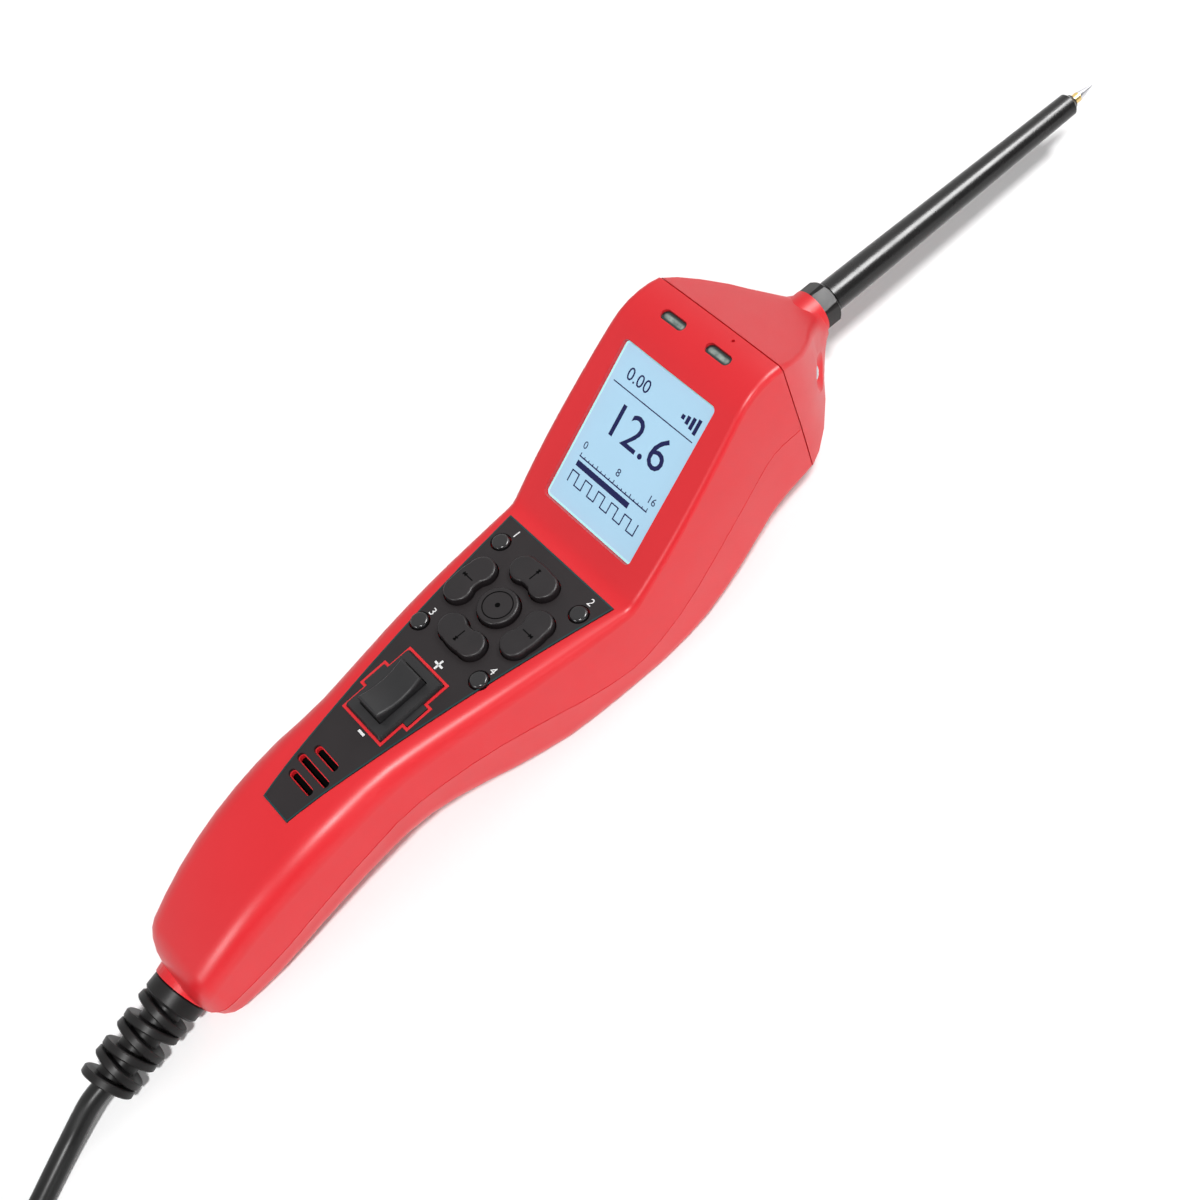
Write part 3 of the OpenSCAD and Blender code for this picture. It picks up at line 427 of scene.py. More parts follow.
# %% Curve of the lead
end_route = [Vector((HANK_X + x, y, HANK_TOP + z)) for x, y, z in (
    (-38, 16.6, -1.2), (-30, 14.4, 0.4), (-20, 12.4, 2.6), (-8, 11.7, 3.9), (4, 12.4, 4.2), (10, 13.9, 4.4),
    (17, 16.2, 4.8), (24, 18, 5))]
PER_TURN = 24
last_turn = math.floor(moves[-1]) + 1.5
steps = int(last_turn * PER_TURN)
points = smooth_points(lead_route, 2)
points += [wound(k / PER_TURN) for k in range(1, steps + 1)]
points += smooth_points(end_route, 2)
lead_curve = bpy.data.curves.new("power_lead", "CURVE")
lead_curve.dimensions = "3D"
lead_curve.bevel_depth = LEAD_D / 2 * MM
lead_curve.bevel_resolution = 4
lead_curve.resolution_u = lead_curve.render_resolution_u = 4
lead_curve.use_fill_caps = True
line = lead_curve.splines.new("BEZIER")
line.bezier_points.add(len(points) - 1)
for knot, point in zip(line.bezier_points, points):
    knot.co = point * MM
    knot.handle_left_type = knot.handle_right_type = "AUTO"
lead_curve.materials.append(finishes["lead_rubber"])
power_lead = hang("power_lead", lead_curve)
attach(power_lead, TESTER)
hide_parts("power_cord", "cord_hank", "cord_end")

# %% [markdown]
# ## The plug and the tie
# The lead ends in a two-pin plug, moulded in one with a short sleeve whose rings let it bend softly. Its body starts
# as a cube whose edges are bevelled twice, first the four long ones and then the ends, as a mould has its radii. The
# sleeve is a profile spun about the cable. A nylon strap goes round the middle of the hank and closes on itself. It is
# one outline, extruded to the strap's width and given a thickness, because that is what a strap is.

# %% Helpers for turned and bevelled shapes
BEVEL = dict(affect="EDGES", profile=0.5, material=-1)


def spun(profile, segments=48):
    """A solid of revolution about z from a profile of radius and height, in millimetres."""
    shape = bmesh.new()
    verts = [shape.verts.new(Vector((r, 0, z)) * MM) for r, z in profile]
    edges = [shape.edges.new(pair) for pair in zip(verts, verts[1:])]
    bmesh.ops.spin(shape, geom=verts + edges, cent=(0, 0, 0), axis=(0, 0, 1), angle=2 * math.pi, steps=segments,
                   use_merge=True, use_duplicate=False)
    bmesh.ops.remove_doubles(shape, verts=shape.verts, dist=TOUCHING)
    bmesh.ops.recalc_face_normals(shape, faces=shape.faces)
    return shape


def block(length, width, height, corner, edge, segments=4):
    """A block standing on z = 0 with rounded corners and softened ends, in millimetres."""
    shape = bmesh.new()
    bmesh.ops.create_cube(shape, size=1)
    bmesh.ops.scale(shape, vec=Vector((length, width, height)) * MM, verts=shape.verts)
    bmesh.ops.translate(shape, vec=(0, 0, height / 2 * MM), verts=shape.verts)
    upright = [e for e in shape.edges if abs(e.verts[0].co.z - e.verts[1].co.z) > 0.5 * height * MM]
    bmesh.ops.bevel(shape, geom=upright, offset=corner * MM, segments=segments, **BEVEL)
    ends = [e for e in shape.edges if abs(e.verts[0].co.z - e.verts[1].co.z) < 1e-7
            and len(e.link_faces) == 2 and any(abs(f.normal.z) > 0.9 for f in e.link_faces)]
    bmesh.ops.bevel(shape, geom=ends, offset=edge * MM, segments=2, **BEVEL)
    return shape


def placed(shape, matrix):
    """The same bmesh after a placement."""
    shape.transform(matrix)
    return shape


def join(*shapes):
    """One bmesh from several."""
    whole = bmesh.new()
    for shape in shapes:
        part = mesh_of("part", shape)
        whole.from_mesh(part)
        bpy.data.meshes.remove(part)
    return whole


print("shape helpers ready")

# %% Plug
PLUG = shift(HANK_X + 24, 18, HANK_TOP + 5) @ turn(90, "Y")
sleeve_rings = [(3.1, 0), (3.9, 0.3)]
for k in range(4):
    r, z = 3.95 + 0.2 * k, 2.2 * k
    sleeve_rings += [(r, z + 1.0), (r, z + 2.0), (r - 0.55, z + 2.2), (r - 0.5, z + 3.0)]
plug_sleeve = spun([(0, 0)] + sleeve_rings + [(4.7, 9.8), (0, 9.8)])
plug_body = placed(block(10, 18, 21, 2, 0.8), shift(0, 0, 9))
grips = [placed(block(1.0, 6.4, 0.5, 0.3, 0.15, 2), shift(0, side * 8.9, 13.5 + 2.6 * k)
                @ turn(90, "X") @ turn(90, "Z") @ shift(0, 0, -0.25)) for side in (-1, 1) for k in range(5)]
plug = add_piece("lead_plug", join(plug_sleeve, plug_body, *grips), "plug_black", place=PLUG)
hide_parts("cord_connector")
print("plug faces:", len(plug.data.polygons))

# %% Tie
TIE_MIDDLE = shift(HANK_X, 0, 18.8)


def strap_outline(grow, corner=2.6, steps=5):
    """The outline of the strap's section, as y and z, from the middle of the top all the way round."""
    wide, tall = 21.6 + grow - corner, 18 + grow - corner
    outline = []
    for sy, sz, first in ((1, 1, 90), (1, -1, 0), (-1, -1, -90), (-1, 1, -180)):
        for k in range(steps + 1):
            a = math.radians(first - 90 * k / steps)
            outline.append((sy * wide + corner * math.cos(a), sz * tall + corner * math.sin(a)))
    return outline


def band(outline, width, thick, closed):
    """A flat band along an outline, with its thickness outwards."""
    shape = bmesh.new()
    verts = [shape.verts.new(Vector((-width / 2, y, z)) * MM) for y, z in outline]
    pairs = list(zip(verts, verts[1:])) + ([(verts[-1], verts[0])] if closed else [])
    edges = [shape.edges.new(pair) for pair in pairs]
    made = bmesh.ops.extrude_edge_only(shape, edges=edges)["geom"]
    bmesh.ops.translate(shape, vec=(width * MM, 0, 0), verts=[v for v in made if isinstance(v, bmesh.types.BMVert)])
    bmesh.ops.recalc_face_normals(shape, faces=shape.faces)
    bmesh.ops.solidify(shape, geom=shape.faces, thickness=thick * MM)
    bmesh.ops.recalc_face_normals(shape, faces=shape.faces)
    return shape


outer = strap_outline(0.75)
loop_band = band(strap_outline(0), 12, 0.7, True)
flap = band([(-12, outer[0][1]), *outer[:9], (outer[8][0], -9)], 11.6, 0.6, False)
tie = add_piece("hank_tie", join(loop_band, flap), "strap_nylon", place=TIE_MIDDLE)
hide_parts("cord_tie")
paint("connector_pins", "steel_metal")
print("tie box:", [round(v, 4) for v in tie.dimensions])

# %% [markdown]
# ## The red housing
# The housing is two thin shells and a nose cover in glossy red plastic. The CAD meshes have the right shape, but they
# are flat triangles, and light would show every one. A real shell is a smooth sculpted surface. So a copy of each mesh
# keeps its points, and only its shading changes: a fine, uncut skin is lofted from the same curves, and each corner of
# the copy that lies on the skin borrows the skin's direction. Walls of openings keep their own direction, so their
# edges stay crisp.

# %% Curves of the housing


def through(spots, x):
    """The smooth curve through a few points, with the slope at each taken from its neighbours."""
    last = len(spots) - 1
    i = max([k for k in range(last) if x >= spots[k][0]] or [0])
    h = spots[i + 1][0] - spots[i][0]

    def slope(k):
        """The slope at one of the points."""
        a, b = max(k - 1, 0), min(k + 1, last)
        return (spots[b][1] - spots[a][1]) / (spots[b][0] - spots[a][0])

    t = (x - spots[i][0]) / h
    return ((2 * t**3 - 3 * t**2 + 1) * spots[i][1] + (t**3 - 2 * t**2 + t) * h * slope(i)
            + (3 * t**2 - 2 * t**3) * spots[i + 1][1] + (t**3 - t**2) * h * slope(i + 1))


TAIL, SEAM, BELLY = -123.5, 86.0, 39.6
CREST_X, CREST_R = 70, 18


def ground(x):
    """Height of the table under the tester."""
    return -BELLY - math.tan(math.radians(LYING_TILT)) * x


def top_line(x):
    """Arch over the grip, display face and rounded crest."""
    face = FOLD_Z + math.tan(TILT) * (min(x, CREST_X) - FOLD_X)
    if x > CREST_X:
        return face - CREST_R * math.cos(TILT) + math.sqrt(
            CREST_R**2 - (x - CREST_X - CREST_R * math.sin(TILT)) ** 2)
    arch = grip_arch(x)
    return (arch + face + math.sqrt((arch - face) ** 2 + 1)) / 2


bottom_points = [(TAIL, ground(TAIL) - 0.3), (-105, -35.6), (-85, -30.3), (-62, -27), (-40, -29.6), (-20, -36.2),
                 (-2, -BELLY - 0.5), (14, -BELLY - 0.9), (28, -39.4), (42, -36.4), (56, -30.2), (70, -22.8),
                 (SEAM, -20.4)]
parting_points = [(TAIL, -27), (-100, -21.4), (-80, -15.4), (-62, -12), (-45, -11.4), (-25, -13), (-10, -17),
                  (5, -22.4), (18, -24.8), (33, -20.3), (48, -12.1), (66, -2.2), (76, 2.1), (SEAM, 0.8)]
width_points = [(TAIL, 14), (-108, 15.8), (-95, 16.9), (-80, 17.6), (-64, 17.9), (-50, 17.6), (-35, 19.3), (-20, 21.4),
                (-5, 23.2), (8, 24.3), (22, 24.9), (40, 25.3), (60, 24.4), (75, 23.1), (SEAM, 22.2)]
shoulder_points = [(TAIL, 6), (-74, 6.8), (-50, 6.2), (-20, 5), (10, 3.6), (20, 2.6), (30, 2), (SEAM, 1.8)]
belly_points = [(TAIL, 7), (-60, 9), (0, 9), (45, 6.5), (SEAM, 3)]
taper_points = [(TAIL, -0.6), (0, -0.6), (30, 0.2), (SEAM, 0.8)]
TAIL_R, UNDER_TAPER, CROWN, SIDE_LEFT = 7, -1.1, 0.35, 0.8
print("top line at the fold:", round(top_line(23.2), 2))

# %% Fine skin of a half shell


def half_section(x, way, turns=14, across=6):
    """Points of one half of the housing's section, from the parting line over the middle and back down."""
    to_full = max(TAIL_R - (x - TAIL), 0)
    shrink = TAIL_R - math.sqrt(max(TAIL_R**2 - to_full**2, 0))
    parting = through(parting_points, x)
    half = through(width_points, x) - shrink * 0.9
    edge = (top_line(x) if way > 0 else max(through(bottom_points, x), ground(x))) - way * shrink
    wide = half + (through(taper_points, x) if way > 0 else UNDER_TAPER)
    r = min(through(shoulder_points if way > 0 else belly_points, x), abs(edge - parting) - SIDE_LEFT,
            wide - SIDE_LEFT)
    side = [(half, parting), (half + (wide - half) * 0.5, parting + (edge - way * r - parting) * 0.5)]
    side += [(wide - r + r * math.cos(a), edge - way * (r - r * math.sin(a)))
             for a in (math.pi / 2 * k / turns for k in range(turns + 1))]
    side += [((wide - r) * f, edge + (CROWN * (1 - f * f) if way > 0 else 0))
             for f in (1 - k / across for k in range(1, across + 1))]
    return side + [(-y, z) for y, z in side[-2::-1]]


def smooth_skin(way):
    """A fine uncut skin of one half shell: a grid whose points move to their place on the sections."""
    stations = [TAIL + TAIL_R * (1 - math.cos(math.radians(4.5 * k))) for k in range(21)]
    stations += [stations[-1] + (SEAM - stations[-1]) * k / 150 for k in range(1, 151)]
    sections = [half_section(x, way) for x in stations]
    rows_across, rows_along = len(sections[0]) - 1, len(stations) - 1
    skin = bmesh.new()
    bmesh.ops.create_grid(skin, x_segments=rows_along, y_segments=rows_across, size=1)
    tail_ring = []
    for v in skin.verts:
        i, j = round((v.co.x + 1) / 2 * rows_along), round((v.co.y + 1) / 2 * rows_across)
        v.co = DESIGN @ (Vector((stations[i], *sections[i][j])) * MM)
        if i == 0:
            tail_ring.append((j, v))
    skin.faces.new([v for _, v in sorted(tail_ring, key=lambda pair: pair[0])])
    bmesh.ops.recalc_face_normals(skin, faces=skin.faces)
    top = max(skin.faces, key=lambda f: way * f.calc_center_median().z)
    if top.normal.z * way < 0:
        bmesh.ops.reverse_faces(skin, faces=skin.faces)
    skin.normal_update()
    return skin


print("points across a section:", len(half_section(0, 1)))

# %% Shells with the skin's shading
ON_SKIN, SAME_WAY = 0.25 * MM, 0.85


def skin_shaded(cover, skin, name):
    """A merged copy of a CAD shell whose corners on the skin take the skin's own direction."""
    tree = BVHTree.FromBMesh(skin)
    skin.faces.ensure_lookup_table()
    shell = merged(cover)
    direction = {}
    for v in shell.verts:
        spot, _, index, away = tree.find_nearest(v.co)
        face = skin.faces[index]
        weights = poly_3d_calc([c.co for c in face.verts], spot)
        normal = sum((w * c.normal for w, c in zip(weights, face.verts)), Vector()).normalized()
        direction[v.index] = (normal, away < ON_SKIN)
    normals = []
    for face in shell.faces:
        for corner in face.verts:
            normal, near = direction[corner.index]
            normals.append(normal if near and normal.dot(face.normal) > SAME_WAY else face.normal.copy())
    data = mesh_of(name, shell)
    skin.free()
    data.shade_smooth()
    data.normals_split_custom_set(normals)
    return data


for half, way in (("top", 1), ("bottom", -1)):
    cover, name = half + "_cover", half + "_shell"
    shell = add_piece(name, skin_shaded(cover, smooth_skin(way), name), "red_abs", smooth_below=0)
    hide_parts(cover)
    print(name, "faces:", len(shell.data.polygons))
nose = add_piece("nose_shell", merged("nose_cover"), "red_abs", smooth_below=25)
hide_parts("nose_cover")
print("nose faces:", len(nose.data.polygons))

# %% [markdown]
# ## The indicator windows
# Each indicator is a small smoked window, with its lamp a little way under it. Its colour holds painted light: the
# middle is painted pale with glint streaks, a painted highlight, and the rim almost black, painted shade of the walls
# round it. The distance of a point from the window's long middle line gives that rim, because an obround is all the
# points within one distance of a line.

# %% Painted shade at the rim of the indicator windows
WINDOW_X, WINDOW_Y, WINDOW_REACH = 47.72, 8.3, 2.8
glass = finishes["window_smoke_painted_light"].node_tree
base_colour = glass.nodes["Principled BSDF"].inputs["Base Color"]
place = node(glass, "ShaderNodeTexCoord")["Object"]
place = node(glass, "ShaderNodeSeparateXYZ", {"Vector": place})
along = maths(glass, "SUBTRACT", maths(glass, "ABSOLUTE", place["Y"]), WINDOW_Y * MM)
past_end = maths(glass, "MAXIMUM", maths(glass, "SUBTRACT", maths(glass, "ABSOLUTE", along), WINDOW_REACH * MM), 0.0)
across = maths(glass, "SUBTRACT", place["X"], WINDOW_X * MM)
squares = [maths(glass, "POWER", side, 2.0) for side in (past_end, across)]
away = maths(glass, "SQRT", maths(glass, "ADD", *squares))
# The mask darkens the window towards its edge: painted shade.
painted_rim_shade = node(glass, "ShaderNodeMapRange", {"Value": away, "From Min": 0.25 * MM, "From Max": 1.0 * MM},
           interpolation_type="SMOOTHSTEP")
shade = node(glass, "ShaderNodeMix", {"Factor": painted_rim_shade["Result"], "A": base_colour.links[0].from_socket,
                                      "B": (0.006, 0.016, 0.015, 1)}, data_type="RGBA")
glass.links.new(shade["Result"], base_colour)
print("window rim nodes:", len(glass.nodes))

# %% [markdown]
# ## Finishes for the pieces that stay
# The CAD shape of the small rigid pieces is already right, so they stay and only get their real finish. The round ones
# are copied and merged, so that their facets shade as one smooth surface and catch one long streak of light.

# %% CAD pieces with a new finish
plain_finishes = {
    "housing_screws": "zinc_metal", "board_screws": "zinc_metal", "keypad_board": "board_green",
    "main_board": "board_green", "key_domes": "steel_metal", "rocker_terminals": "brass_metal",
    "display_module": "dark_case", "circuit_breaker": "dark_case", "ribbon_cable": "ribbon_film",
    "speaker": "speaker_cloth", "inner_leads": "lead_rubber", "probe_socket": "brass_metal",
    "indicator_left": "window_smoke_painted_light", "indicator_right": "window_smoke_painted_light", "display_lens": "lcd_glass",
}
for name, finish_name in plain_finishes.items():
    paint(name, finish_name)
round_pieces = {
    "work_light_left": ("light_lens", "lamp_lens"), "work_light_right": ("light_lens", "lamp_lens"),
    "probe_collar": ("collar_black", "probe_black"), "probe_rod": ("gold_metal", "probe_gold"),
    "probe_point": ("steel_metal", "probe_steel"), "keypad_overlay": ("overlay_film", "overlay"),
    "rocker_housing": ("switch_black", "switch_plastic"),
}
round_pieces |= {f"key_{word}": ("key_rubber", "key_rubber") for word in ("mode", "up", "left", "down", "right")}
round_pieces |= {f"button_{k}": ("button_gloss", "button_gloss") for k in range(1, 5)}
bodies = {name: name for name in round_pieces if name in frame["bodies"]}
for name, (finish_name, slot) in round_pieces.items():
    piece = add_piece(name + "_smooth", merged(name), finish_name, bodies.get(name, TESTER))
    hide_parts(name)
print("smooth pieces:", len(round_pieces), "on their own bodies:", sorted(bodies))

# %% [markdown]
# The sleeve of the probe is a turned and polished plastic tube, and one long streak of light runs down it. A coarse
# tube would break that streak up, so this one is spun anew from the same profile with many narrow faces.

# %% Sleeve of the probe
sleeve_profile = [(2.03, 5.3), (4.0, 5.3), (4.4, 5.8), (4.3, 17.3), (3.2, 95.2), (1.8, 96.8), (2.03, 96.8), (2.03, 5.3)]
sleeve = add_piece("probe_tube", spun(sleeve_profile, 128), "sleeve_black", place=PROBE)
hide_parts("probe_sleeve")
print("sleeve faces:", len(sleeve.data.polygons), [round(v, 4) for v in sleeve.dimensions])

# %% [markdown]
# ## The strain relief
# The strain relief is one piece of soft rubber, moulded so that it bends like a spring. Its rings lean to and fro: each
# meets the next on one side, and leaves a wedge-shaped gap on the other. So each ring is spun flat, leaned about the
# line that faces up and outwards, and set in its place on the core. The core, the flange at the housing and the anchor
# inside it are one turned shape.

# %% Strain relief
RELIEF = DESIGN @ shift(-124.6, 0, -27.3) @ turn(7.5, "Z") @ turn(-94, "Y")
RING_PITCH, RING_HALF, RING_COUNT, RING_LEAN, LEAN_LINE = 4.3, 1.15, 6, 7.0, -30
relief_core = spun([(0, -9.6), (7.2, -9.6), (7.2, -7.2), (5.75, -7.2), (5.75, 0), (7.4, 0), (7.9, 0.5), (7.9, 4.2),
                    (7.3, 4.9), (6.6, 5), (4.6, 5), (4.2, 30.2), (0, 30.2)], 64)
rings = []
for k in range(1, RING_COUNT + 1):
    edge = 7.95 - 0.55 * k / RING_COUNT
    ring = spun([(3.6, -RING_HALF), (edge - 0.35, -RING_HALF), (edge, 0.35 - RING_HALF), (edge, RING_HALF - 0.35),
                 (edge - 0.35, RING_HALF), (3.6, RING_HALF), (3.6, -RING_HALF)], 64)
    lean = RING_LEAN if k % 2 == 0 else -RING_LEAN
    rings.append(placed(ring, shift(0, 0, 3.3 + RING_PITCH * k) @ turn(LEAN_LINE, "Z") @ turn(lean, "X")))
relief = add_piece("relief_springs", join(relief_core, *rings), "relief_rubber", place=RELIEF)
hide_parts("strain_relief")
print("strain relief faces:", len(relief.data.polygons), [round(v, 4) for v in relief.dimensions])

# %% [markdown]
# The film bends with the grip, but its CAD mesh is a few long flat facets. Its top corners take the direction of the
# arch itself, worked out from the slope of the top line, so that it shades as one gentle curve.

# %% Shading of the film
film = bpy.data.objects["keypad_overlay_smooth"].data
lean = DESIGN.to_3x3()
film_normals = []
for face in film.polygons:
    for v in face.vertices:
        x = (DESIGN.inverted() @ film.vertices[v].co).x / MM
        slope = (top_line(x + 0.1) - top_line(x - 0.1)) / 0.2
        arch_normal = (lean @ Vector((-slope, 0, 1))).normalized()
        film_normals.append(arch_normal if face.normal.dot(arch_normal) > 0.9 else face.normal.copy())
film.normals_split_custom_set(film_normals)
print("film corners:", len(film_normals))

# %% [markdown]
# ## The rocker
# The rocker is a moulded nylon paddle with a dished top. A mould can't make knife edges, and a finger wouldn't like
# them, so the copy of its mesh gets all its upper edges rounded: the flat triangles are joined into faces first,
# because a bevel follows the edges of faces.

# %% Rocker
paddle = merged("rocker_actuator")
bmesh.ops.dissolve_limit(paddle, angle_limit=math.radians(1), verts=paddle.verts, edges=paddle.edges)
to_rocker = ROCKER.inverted()
SHARP, UPPER, ROUNDING = 0.9, 2.4, 0.75
rims = [e for e in paddle.edges if len(e.link_faces) == 2 and e.calc_face_angle(0) > SHARP
        and all((to_rocker @ v.co).z > UPPER * MM for v in e.verts)]
bmesh.ops.bevel(paddle, geom=rims, offset=ROUNDING * MM, segments=4, **BEVEL)
rocker = add_piece("rocker_paddle", paddle, "switch_black", "rocker")
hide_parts("rocker_actuator")
print("rocker edges rounded:", len(rims))

# %% [markdown]
# The red cover has a narrow rim that stands up through the film round the switch, and that is the bright red line in
# the photograph. Its outline is the outline of the switch with its two side tabs, so the outline is made once and grown
# by the width of the rim.

# %% Rim round the rocker


def switch_outline(grow):
    """The corners of the switch's opening with its two tabs, grown on every side, in millimetres."""
    long_half, wide_half = 10.55 + grow, 7.55 + grow
    tab_from, tab_to, tab_out = -3.3 - grow, 3.6 + grow, 9.4 + grow
    upper = [(long_half, wide_half), (tab_to, wide_half), (tab_to, tab_out), (tab_from, tab_out),
             (tab_from, wide_half), (-long_half, wide_half)]
    return upper + [(x, -y) for x, y in reversed(upper)]


def ribbon(corners, width, cuts=0):
    """A flat band just inside a closed outline: one face, inset, with its middle taken out."""
    shape = bmesh.new()
    shape.faces.new([shape.verts.new(Vector((x, y, 0)) * MM) for x, y in corners])
    if cuts:
        bmesh.ops.subdivide_edges(shape, edges=shape.edges, cuts=cuts)
    shape.normal_update()
    bmesh.ops.inset_region(shape, faces=shape.faces, thickness=width * MM, use_boundary=True, use_even_offset=True)
    bmesh.ops.delete(shape, geom=[max(shape.faces, key=lambda f: f.calc_area())], context="FACES")
    return shape


def thickened(shape, thick):
    """The same band with a thickness upwards, closed all round."""
    made = bmesh.ops.extrude_face_region(shape, geom=shape.faces[:])["geom"]
    bmesh.ops.translate(shape, vec=(0, 0, thick * MM), verts=[v for v in made if isinstance(v, bmesh.types.BMVert)])
    bmesh.ops.recalc_face_normals(shape, faces=shape.faces)
    return shape


RIM = 0.75
switch_rim = add_piece("switch_rim", thickened(ribbon(switch_outline(RIM), RIM), 0.39), "red_abs",
                       place=ROCKER @ shift(0, 0, 0.06), smooth_below=0)
print("switch rim faces:", len(switch_rim.data.polygons))

# %% [markdown]
# ## The display
# The real display is a lit liquid crystal panel, pale blue with dark blue figures. Figures on a screen are flat, so
# they are text curves turned into thin meshes a fraction of a millimetre above the lens, and bars from small blocks.
# What stands here is generic: a reading in plain figures, a scale, and a trace such as any such tester draws.

# %% Figures and bars


def figures(text, size, thick=0.03):
    """Plain figures as a mesh, centred, in millimetres."""
    curve = bpy.data.curves.new("figures", "FONT")
    curve.body = text
    curve.size = size * MM
    curve.extrude = thick / 2 * MM
    curve.align_x = "CENTER"
    curve.align_y = "CENTER"
    curve.resolution_u = 3
    holder = hang("figures", curve)
    bpy.context.view_layer.update()
    data = bpy.data.meshes.new_from_object(holder.evaluated_get(bpy.context.evaluated_depsgraph_get()))
    bpy.data.objects.remove(holder)
    shape = bmesh.new()
    shape.from_mesh(data)
    bpy.data.meshes.remove(data)
    bmesh.ops.remove_doubles(shape, verts=shape.verts, dist=TOUCHING)
    return shape


def bar(x, y, length, width, thick=0.03):
    """A thin flat bar, in millimetres."""
    shape = bmesh.new()
    bmesh.ops.create_cube(shape, size=1)
    bmesh.ops.scale(shape, vec=Vector((length, width, thick)) * MM, verts=shape.verts)
    bmesh.ops.translate(shape, vec=Vector((x, y, 0)) * MM, verts=shape.verts)
    return shape


print("figures and bars ready")

# %% Painted highlight at the edge of the display
LENS_TOP = -1.2


def rounded_frame(length, width, corner, steps=6):
    """A rounded rectangle's outline as a closed list of corners."""
    outline = []
    for sx, sy, first in ((1, 1, 0), (-1, 1, 90), (-1, -1, 180), (1, -1, 270)):
        for k in range(steps + 1):
            a = math.radians(first + 90 * k / steps)
            outline.append((sx * (length / 2 - corner) + corner * math.cos(a),
                            sy * (width / 2 - corner) + corner * math.sin(a)))
    return outline


# A thin glowing cyan band round the lens is a painted highlight, for the light caught by the wall round the display.
display_edge_highlight = add_piece("display_edge_highlight", thickened(ribbon(rounded_frame(46.2, 34.1, 1.5), 0.6), 0.05), "lcd_edge_painted_highlight",
                         place=DISPLAY @ shift(0, 0, LENS_TOP - 0.01), smooth_below=0)
print("display edge faces:", len(display_edge_highlight.data.polygons))

# %% Display content
LEFT, SCALE_Y, TRACE_Y, STEP, SWING = -13, -9.3, -15.0, 2.6, 1.6
screen = DISPLAY @ shift(0, 0, LENS_TOP + 0.02) @ turn(-90, "Z")
content = [placed(figures(words, size), shift(x, y, 0)) for words, size, x, y in (
    ("12.6", 13, 0, 4), ("0.00", 5, -8, 16), ("0", 3, LEFT, -6.2), ("8", 3, 0, -6.2), ("16", 3, -LEFT, -6.2))]
content += [bar(0, SCALE_Y, 26.5, 0.35), bar(0, 12.2, 30, 0.3)]
content += [bar(LEFT - LEFT * k / 8, SCALE_Y + tick / 2, 0.25, tick)
            for k, tick in enumerate([1.0, 0.6, 0.6, 0.6] * 4 + [1.0])]
content += [bar(LEFT + 20.5 / 2, -11.2, 20.5, 1.6)]
content += [bar(LEFT + STEP * (k + 0.5), TRACE_Y - (SWING if k % 2 else -SWING), STEP, 0.35) for k in range(10)]
content += [bar(LEFT + STEP * k, TRACE_Y, 0.35, 2 * SWING + 0.3) for k in range(11)]
content += [bar(9 + 1.7 * k, 16, 1.1, 1.2 + 1.0 * k) for k in range(4)]
display_content = add_piece("display_content", join(*content), "lcd_ink", place=screen,
                            smooth_below=0)
print("display content faces:", len(display_content.data.polygons))

# %% [markdown]
# ## Printed marks, and painted shade in the key grooves
# The keypad film carries small white marks: a figure beside each of the four buttons, and a plus and a minus at the
# ends of the rocker. The soft keys have thin grooves for their arrows, whose dark lines are painted shade for the shade
# in the grooves, and the middle key has a plain dark ring and dot. Each mark is a thin mesh laid on the surface, and it
# rides on the key that it belongs to, so that it goes down when the key is pressed.

# %% Marks on the film
FILM_TOP, FIGURE_SIZE = 0.4, 3.2


def on_film(x, y):
    """The frame on the film's top at a place of the keypad, with the figure's top towards the probe."""
    lift = top_line(x) - grip_arch(x)
    return on_arch(x) @ shift(0, y, FILM_TOP + 0.02 + lift) @ turn(-90, "Z")


marks = [placed(figures(words, FIGURE_SIZE), on_film(x, y)) for words, x, y in (
    ("1", 17.3, 15.0), ("2", 17.3, -15.6), ("3", -12.4, 12.2), ("4", -12.4, -13.2))]
marks += [placed(bar(0, 0, length, width), on_film(x, y)) for length, width, x, y in (
    (3.0, 0.6, -20.8, -1.4), (0.6, 3.0, -20.8, -1.4), (2.4, 0.7, -46.2, -1.5))]
add_piece("film_marks", join(*marks), "print_white", smooth_below=0)
print("marks on the film:", len(marks))

# %% Painted shade in the grooves of the keys, and the middle key's mark
KEY_TOP, MODE_TOP, KEY_OUT, GROOVE_SHADE_WIDTH = 2.5, 2.3, 12.45, 0.32
key_marks_and_groove_shade = {}
for name, degrees in (("key_up", 0), ("key_left", 90), ("key_down", 180), ("key_right", 270)):
    # The arrow lines are thin dark bars: painted shade where the groove lies.
    barbs = [placed(bar(0.6, 0, 1.4, GROOVE_SHADE_WIDTH), shift(1.2, 0, 0) @ turn(side * 140, "Z") @ shift(-0.6, 0, 0))
             for side in (1, -1)]
    key_marks_and_groove_shade[name] = (join(bar(0, 0, 3.8, GROOVE_SHADE_WIDTH), *barbs), turn(degrees, "Z") @ shift(KEY_OUT, 0, KEY_TOP + 0.01))
ring = spun([(3.9, 0), (4.2, 0), (4.2, 0.03), (3.9, 0.03), (3.9, 0)])
dot = spun([(0, 0), (0.7, 0), (0.7, 0.03), (0, 0.03)], 24)
key_marks_and_groove_shade["key_mode"] = (join(ring, dot), shift(0, 0, MODE_TOP + 0.01))
for name, (shape, place) in key_marks_and_groove_shade.items():
    add_piece(name + "_mark", shape, "mark_and_groove_shade_dark", name, KEYPAD @ place, smooth_below=0)
print("marks on keys:", list(key_marks_and_groove_shade))

# %% [markdown]
# The film has a thin darker line round its edge, where its clear layer ends. It is a narrow ribbon: the film's outline
# as one face, inset by the line's width, with the middle taken out. Its points then move onto the arch of the grip.

